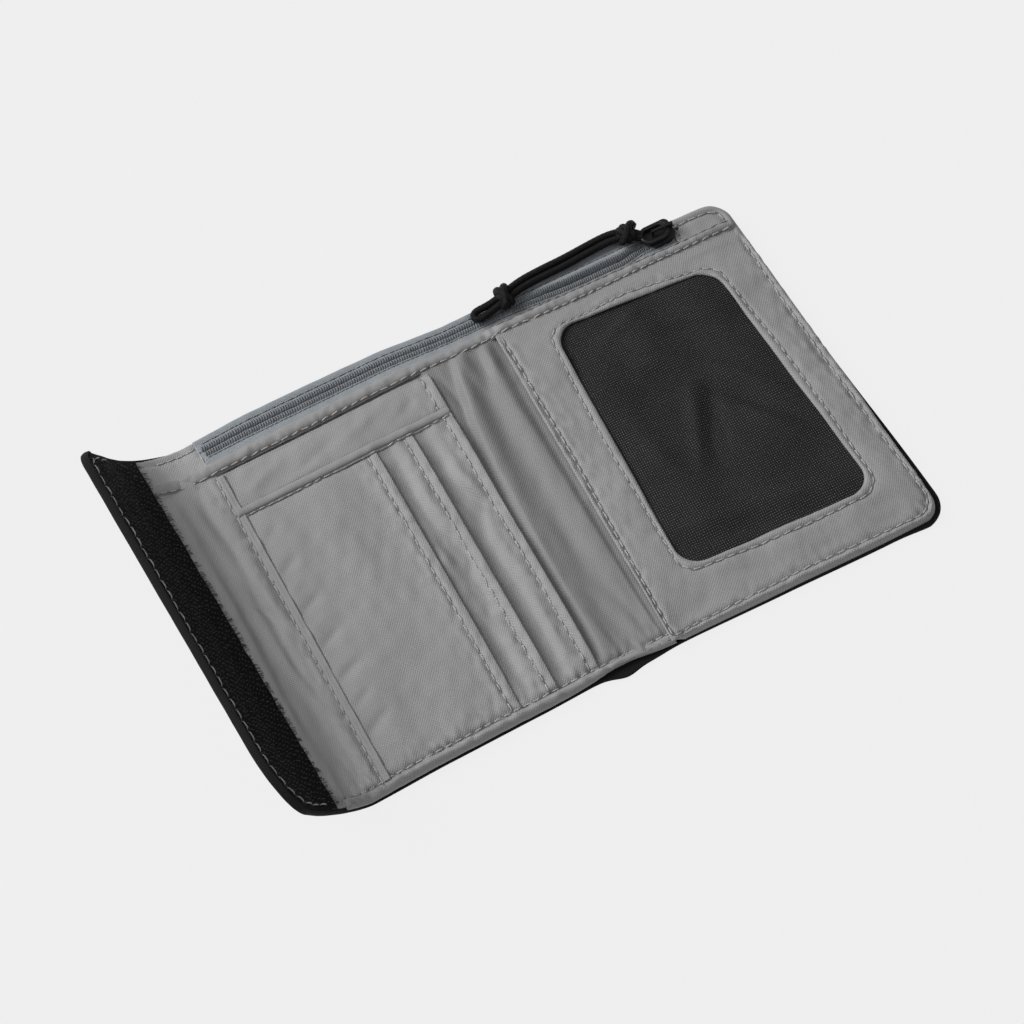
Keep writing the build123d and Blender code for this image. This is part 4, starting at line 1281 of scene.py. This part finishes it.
def make_id_side():
    inner = corner_loop(WINDOW_CORNERS, (WINDOW_RADIUS,) * 4, *LOOP_COUNTS)
    outer = corner_loop(FRAME_CORNERS, (0.6, GREY_CORNER, 0.4, 0.4), *LOOP_COUNTS)
    span = outer - inner
    width = np.linalg.norm(span, axis=1)
    near = np.array([0, 0.08, 0.22, 0.5, 0.9, 1.4, 1.9, 2.25, 2.5, 2.75, 3.1, 3.8])
    far = np.array([4.2, 3.5, 3.15, 2.9, 2.65, 2.3, 1.8, 1.3, 0.9, 0.55, 0.25, 0.1, 0])
    shares = [d / width for d in near]
    first, last = 3.8 / width, 1 - 4.2 / width
    shares += [first + (last - first) * t for t in np.linspace(0, 1, 12)[1:-1]]
    shares += [1 - d / width for d in far]
    share = np.array(shares)
    u = inner[:, 0] + span[:, 0] * share
    v = inner[:, 1] + span[:, 1] * share
    from_inner = share * width
    from_outer = (1 - share) * width

    surface = frame_height(u, v)
    free = ease(u, FRAME_LEFT + 1, FRAME_LEFT + 6)
    hem_distance, drop = edge_drop(u, v, surface + hem_fall(u, v))
    below = ease(-v, -46, -43)
    seam = edge_stitch(u)
    surface = surface + groove(from_inner - WINDOW_STITCH, 0.28)
    surface = surface + groove(from_outer - seam, 0.50, 0.95) * below
    surface = surface + 0.28 * np.sin(math.pi * np.clip(from_inner / WINDOW_STITCH, 0, 1))
    hem = np.sin(math.pi * np.clip(from_outer / seam, 0, 1)) * (0.4 + 0.6 * free) * below
    surface = surface + (0.45 + 0.20 * hem_ripples(u + v, v)) * hem
    surface = surface + puckers(u, v, from_inner - WINDOW_STITCH, 0.07)
    surface = surface + puckers(u, v, from_outer - seam, 0.2) * below
    surface = surface - drop * free
    thick = 0.8 + (surface - 0.8 - 1.2) * ease(-hem_distance, -3.0, -1.2) * free
    thick = np.maximum(thick, 0.5)
    fold = rounding(np.minimum(from_inner, from_outer), 0.8)
    rows, columns = u.shape
    count = rows * columns
    inner_rim = np.arange(columns)
    outer_rim = np.arange(columns) + (rows - 1) * columns
    faces = np.concatenate([
        grid_faces(rows, columns, flip=True, closed=True),
        grid_faces(rows, columns, count, closed=True),
        wall_faces(inner_rim, inner_rim + count),
        wall_faces(outer_rim + count, outer_rim),
    ])
    points, pattern = two_skins(u, v, surface, thick, fold)
    piece = make_object("window_frame", points, faces, pattern, [PANEL])
    on_id(piece, "lining_fabric", "id_window_frame", "id_right_hem", "id_bottom_hem")

    def net_height(u, v):
        checks = np.indices(u.shape).sum(0) % 2 * 2.0 - 1
        inside = swell(u, WINDOW_LEFT - 1, WINDOW_RIGHT + 1, 12) * swell(v, -43, 41, 12)
        drape = 0.45 + 0.20 * broad(u + 17, v * 0.8) + creases(u, v, NET_FOLDS)
        return MESH_TOP + 0.06 + 0.07 * checks + np.clip(drape, -0.05, 1.6) * inside

    u_lines = np.arange(WINDOW_LEFT - 3.5, WINDOW_RIGHT + 3.6, 0.42)
    v_lines = np.arange(WINDOW_LOW_RIGHT - 3.5, WINDOW_TOP_LEFT + 3.3, 0.335)
    piece = panel("window_mesh", u_lines, v_lines, net_height, 0.3, NET)
    on_id(piece, "mesh", "id_mesh_window")

    def tab_outline(u, v):
        reach = np.clip(v - (-GREY_LOW - GREY_CORNER), 0, GREY_CORNER)
        pull = corner_pull(reach, GREY_CORNER)
        return u - pull * np.clip((u - TAB_RIGHT) / (GREY_EDGE - TAB_RIGHT), 0, 1), v

    def tab_height(u, v):
        surface = ID_TOP - 0.1 + 0.1 * fine(u, v)
        distance, drop = edge_drop(u, v, surface)
        seams = groove(distance - EDGE_STITCH, 0.35, 0.8) + groove(u - TAB_ROW, 0.25)
        bulge = 0.3 * np.sin(math.pi * np.clip(distance / EDGE_STITCH, 0, 1))
        return surface + seams + bulge - drop

    def tab_thickness(u, v):
        return np.maximum(tab_height(u, v) - 1.3, 0.4) * ease(u, TAB_RIGHT - 1, TAB_RIGHT + 3) + 0.2

    u_lines = lines(TAB_RIGHT, GREY_EDGE, 0.5, (TAB_ROW, GREY_EDGE - EDGE_STITCH))
    v_lines = lines(FACING_LOW, -GREY_LOW, 0.5, (-GREY_LOW - EDGE_STITCH,))
    piece = panel("right_zip_tab", u_lines, v_lines, tab_height, tab_thickness, FOLD, tab_outline)
    on_id(piece, "lining_fabric", "zip_end_tab_right")
    return inner, outer, span, width


# ---------------------------------------------------------------- zip
COIL_PITCH = 0.76
COIL_OFFSET = 0.95


def make_zip():
    low, high = FACING_ENDS
    u_lines = lines(low, high, 0.7)
    v_lines = np.array([0, 0.02, 0.05, 0.09, *np.linspace(0.13, 0.90, 12), 0.93, 0.96, 0.985, 1.0])
    piece = panel("zip_facing", u_lines, v_lines, facing_height, 0.6, FOLD, facing_outline)
    across_spine(piece, "lining_fabric", "card_zip_facing", "spine_zip_facing", "id_zip_facing")

    u_lines = lines(ZIP_LEFT - 1.5, TAB_RIGHT + 1.5, 0.8)
    v_lines = lines(ZIP_LINE + 0.12, TAPE_TOP + 0.2, 0.35, (TAPE_ROW,))

    def rear_height(u, v):
        return tape_height(u, v) + 0.2 * ease(v, TAPE_TOP - 1.5, TAPE_TOP - 0.8)

    piece = panel("zip_tape_upper", u_lines, v_lines, rear_height, 0.5, TAPE, zip_outline)
    across_spine(piece, "zip_tape", "card_zip_tape_rear", "spine_zip_tape_rear", "id_zip_tape_rear")
    v_lines = lines(FACING_HIGH - 0.3, ZIP_LINE - 0.12, 0.3)
    piece = panel("zip_tape_lower", u_lines, v_lines, tape_height, 0.4, TAPE, zip_outline)
    across_spine(piece, "zip_tape", "card_zip_tape_front", "spine_zip_tape_front", "id_zip_tape_front")

    random = np.random.default_rng(21)
    share = np.linspace(-1, 1, 7)
    teeth = []
    slider_left = box_mm("zip_slider")[0].x + 2.0
    for side, start in ((1, 0.0), (-1, COIL_PITCH / 2)):
        at = np.arange(ZIP_LEFT + start, slider_left, COIL_PITCH)
        at = at + random.normal(0, 0.03, len(at))
        u = at[:, None] + 0.10 * side * share
        v = ZIP_LINE + side * (COIL_OFFSET + 0.86 * share)
        u, v = zip_outline(*np.broadcast_arrays(u, v))
        h = tape_height(u, v) + 0.22 - 0.34 * np.abs(share) ** 4 + 0 * u
        teeth.append(np.stack(np.broadcast_arrays(u, v, h), -1))
    points, faces, pattern = threads(np.concatenate(teeth), 0.25 * np.array([0.5, 0.9, 1, 1, 1, 0.9, 0.5]), 8)
    piece = make_object("zip_coil_pair", points, faces, pattern, [COIL])
    across_spine(piece, "zip_coil", "card_zip_coils", "spine_zip_coils", "id_zip_coils")


# ---------------------------------------------------------------- hook and loop
HOOK_BASE_TOP = SHELL + 0.95
HOOK_LEFT = FLAP_TIP + 1.2


def hook_height(u, v):
    return HOOK_BASE_TOP + 0.10 * fine(u, v) + 0 * v


def make_hook_strip():
    end = HALF_HEIGHT - 1.2

    def outline(u, v):
        return u + tip_pull(v, 1.2) * np.clip((HOOK_START - u) / (HOOK_START - HOOK_LEFT), 0, 1), v

    u_lines = lines(HOOK_LEFT, HOOK_START, 0.9, (FLAP_TIP + 4.0,))
    piece = panel("hook_tape", u_lines, lines(-end, end, 1.2), hook_height, 0.45, HOOK_BASE, outline)
    across_flap(piece, "hook_strip", "riser_hook_strip", "flap_hook_strip")

    random = np.random.default_rng(31)
    rows, columns = np.meshgrid(
        np.arange(HOOK_LEFT + 2, HOOK_START - 0.3, 1.15), np.arange(1 - end, end - 0.8, 2), indexing="ij")
    columns = columns + (-0.40 * np.arange(rows.shape[0]) % 2.0)[:, None]
    spot_u = (rows + random.normal(0, 0.06, rows.shape)).ravel()
    spot_v = (columns + random.normal(0, 0.12, rows.shape)).ravel()
    corner = (spot_u > HOOK_LEFT + tip_pull(spot_v, 1.2) * 0.9 + 1.2) & (np.abs(spot_v) < end - 1.2)
    spot_u, spot_v = spot_u[corner], spot_v[corner]
    heading = random.normal(0, 0.5, len(spot_u)) + np.where(random.random(len(spot_u)) < 0.5, 0, math.pi)
    reach = np.array([0, 0.02, 0.12, 0.30, 0.45, 0.50])
    rise = np.array([-0.1, 0.25, 0.45, 0.52, 0.42, 0.25])
    path_u = spot_u[:, None] + np.cos(heading)[:, None] * reach
    path_v = spot_v[:, None] + np.sin(heading)[:, None] * reach
    path_h = hook_height(spot_u, spot_v)[:, None] + rise
    hooks = np.stack(np.broadcast_arrays(path_u, path_v, path_h), -1)

    # loose yarn ends along the strip's cut edge
    count = 230
    fringe_v = random.uniform(-end + 1, end - 1, count)
    start = HOOK_START - 0.5 + random.uniform(0, 0.5, count)
    out = random.uniform(0.5, 1.8, count)
    sway = random.normal(0, 0.35, count)
    share = np.linspace(0, 1, 6)
    arch = 0.35 * np.sin(share * 2.4)[None] * random.uniform(0.5, 1.6, count)[:, None]
    fringe = np.stack(np.broadcast_arrays(
        start[:, None] + out[:, None] * share,
        fringe_v[:, None] + sway[:, None] * share**2,
        HOOK_BASE_TOP - 0.1 + arch), -1)
    points, faces, pattern = threads(np.concatenate([hooks, fringe]), [0.10, 0.10, 0.09, 0.09, 0.08, 0.05], 5)
    piece = make_object("hooks", points, faces, pattern, [HOOK_WIRE])
    across_flap(piece, "hook_strip")


def make_loop_strip():
    low, high = LOOP_LOW, LOOP_HIGH
    piece = panel("loop_tape", lines(low.x, high.x, 1.0), lines(low.y, high.y, 1.5),
                  lambda u, v: 0.58 + 0 * u, 0.22, HOOK_BASE)
    on_id(piece, "loop_strip", "id_loop_strip")
    random = np.random.default_rng(41)
    rows, columns = np.meshgrid(
        np.arange(low.x + 1, high.x - 0.6, 0.95), np.arange(low.y + 0.8, high.y - 0.6, 1.0), indexing="ij")
    u = (rows + random.normal(0, 0.2, rows.shape)).ravel()[:, None]
    v = (columns + random.normal(0, 0.2, rows.shape)).ravel()[:, None]
    heading = random.uniform(0, TURN, u.shape)
    share = np.linspace(-1, 1, 6)
    reach = 0.5 * random.uniform(0.7, 1.3, u.shape)
    path = np.stack(np.broadcast_arrays(
        u + np.cos(heading) * reach * share,
        v + np.sin(heading) * reach * share,
        0.40 - 0.30 * (1 - share**2)), -1)
    points, faces, pattern = threads(path, [0.06, 0.07, 0.07, 0.07, 0.07, 0.06], 4)
    piece = make_object("loop_pile_yarns", points, faces, pattern, [LOOP_PILE])
    on_id(piece, "loop_strip")


# ---------------------------------------------------------------- stitching
def over(height, lift):
    """A surface raised by lift, for thread to lie on."""
    return lambda u, v: height(u, v) + lift


def card_stitch_runs():
    """The card side's straight rows: name, run, surface, seed, pitch and length."""
    seam = SEAM + 0.2
    yield ("side_seam_stitches", ((seam, HEM_STITCH - 1.2), (seam, FACING_LOW + 0.4)),
           over(seam_strip_height, 0.05), 52, 3.3, 2.6)
    mouths = (
        (FRONT_ROW, SLOT_ROW, front_slot_height),
        (MIDDLE_ROW, SLOT_ROW, middle_slot_height),
        (REAR_ROW, PANEL_TOP, rear_slot_height),
    )
    for number, (at, top, height) in enumerate(mouths, 1):
        run = ((at, HEM_STITCH), (at, top))
        yield f"mouth_stitches_{number}", run, over(height, 0.05), 52 + number, 3.2, 2.5
    row = SLOT_TOP - 2.75
    yield ("binding_stitches", ((SEAM + 3.2, row), (SPINE_LEFT - 0.8, row)),
           lambda u, v: card_height(u, v - 0.3) + 0.30, 56, 2.9, 2.1)


def frame_stitch_runs(inner, outer, span, width):
    """The ring of stitches round the window, and the two runs near the frame's outer edge."""
    ring = inner + span * (WINDOW_STITCH / width)[:, None]
    ring = np.concatenate([ring, ring[:1]])
    along, up, bend = LOOP_COUNTS
    inset = outer - span * (edge_stitch(outer[:, 0] + 3) / width)[:, None]
    left_low = bend // 2
    right_top = bend + along + bend + up - 6
    left_side = np.concatenate([inset[-(up - 2):], inset[:left_low + 1]])
    return ring, inset[left_low:right_top], left_side


def tab_stitch_runs():
    """The right zip tab's stitches: up its outer edge and round the corner, and along its fold."""
    top = -GREY_LOW - EDGE_STITCH
    bow = GREY_CORNER - EDGE_STITCH
    arc = [(GREY_EDGE - GREY_CORNER + bow * math.cos(t), -GREY_LOW - GREY_CORNER + bow * math.sin(t))
           for t in np.linspace(0, math.pi / 2, 8)]
    return (
        [(GREY_EDGE - EDGE_STITCH, FACING_HIGH + 0.5), *arc, (TAB_RIGHT + 0.5, top)],
        [(TAB_ROW, FACING_HIGH + 0.3), (TAB_ROW, top)],
    )


def tape_run(start, end, row):
    """A row of stitches along the zip tape, which follows its sag."""
    along = np.linspace(start, end, 90)
    return np.stack(zip_outline(along, row + 0 * along), -1)


def make_stitches(inner, outer, span, width):
    run = ((-93.0, HEM_STITCH), (FRAME_LEFT + 2.2, HEM_STITCH))
    piece = stitches("bottom_stitches", [run], lambda u, v: through(u, HEM_KNOTS) - 0.28, 51)
    across_spine(piece, "lining_fabric")
    for name, run, height, seed, pitch, length in card_stitch_runs():
        on_card(stitches(name, [run], height, seed, pitch, length), "lining_fabric")

    along = np.linspace(FACING_ENDS[0] + 1, FACING_ENDS[1] - 1, 60)
    row = list(zip(along, through(along, FACING_BASE) + 0.1))
    upper_row = [(u, v - 0.75) for u, v in zip(along, through(along, FACING_EDGE)) if u > FRAME_LEFT + 1]
    piece = stitches("facing_stitches", [row], over(facing_height, 0.05), 57, 3.2, 2.5)
    across_spine(piece, "lining_fabric")
    height = over(facing_height, -0.02)
    piece = stitches("facing_upper_stitches", [upper_row], height, 58, 3.0, 2.2, SHADED_THREAD)
    on_id(piece, "lining_fabric")

    ring, *sides = frame_stitch_runs(inner, outer, span, width)
    for name, runs, height, seed, pitch, length in (
        ("window_stitches", [ring], over(frame_height, -0.10), 59, 3.2, 2.5),
        ("edge_stitches", sides, over(frame_height, -0.12), 60, 3.3, 2.6),
        ("tab_stitches", tab_stitch_runs(), lambda u, v: ID_TOP - 0.15 + 0 * u, 61, 3.0, 2.45),
    ):
        on_id(stitches(name, runs, height, seed, pitch, length), "lining_fabric")

    run = tape_run(ZIP_LEFT + 1, TAB_RIGHT - 1, TAPE_ROW)
    piece = stitches("tape_stitches", [run], over(tape_height, -0.12), 62, 2.7, 1.5, DARK_THREAD, 0.19)
    across_spine(piece, "zip_tape")
    rows = [ZIP_LINE + side * (COIL_OFFSET + 1.35) for side in (1, -1)]
    runs = [tape_run(ZIP_LEFT + 0.5, TAB_RIGHT - 2, row) for row in rows]
    piece = stitches("coil_stitches", runs, tape_height, 63, 1.5, 0.8, DARK_THREAD, 0.13, 0.04)
    across_spine(piece, "zip_tape")

    top, fold = HALF_HEIGHT - 3.0, ZIP_LEFT - 1.2
    runs = [((-92, top), (ZIP_LEFT - 1.6, top)), ((fold, FACING_HIGH + 0.3), (fold, top))]
    on_card(stitches("left_tab_stitches", runs, over(lining_height, 0.05), 64), "lining_fabric")

    end = HALF_HEIGHT - 2.6
    along = np.linspace(-end, end, 200)
    tip_row = zip(FLAP_TIP + 2.5 + tip_pull(along, 2.6), along)
    run = [(HOOK_START - 4, -end), *tip_row, (FLAP_TIP + 12, end)]
    piece = stitches("flap_stitches", [run], over(hook_height, 0.15), 65, 3.6, 3.0, PALE_THREAD, 0.19, 0.3)
    across_flap(piece, "hook_strip")


# ---------------------------------------------------------------- CAD nodes that stay
def finish_cad_nodes():
    finishes = {
        "zip_slider": METAL, "pull_ring": METAL, "zip_top_stops": METAL,
        "card_rfid_shield": FOIL, "id_rfid_shield": FOIL,
    }
    for node, material in finishes.items():
        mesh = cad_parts[node].data
        mesh.materials.clear()
        mesh.materials.append(material)


make_camera()
make_cord()
make_studio()
make_shell()
make_linings()
make_card_side()
window = make_id_side()
make_zip()
make_hook_strip()
make_loop_strip()
make_stitches(*window)
finish_cad_nodes()
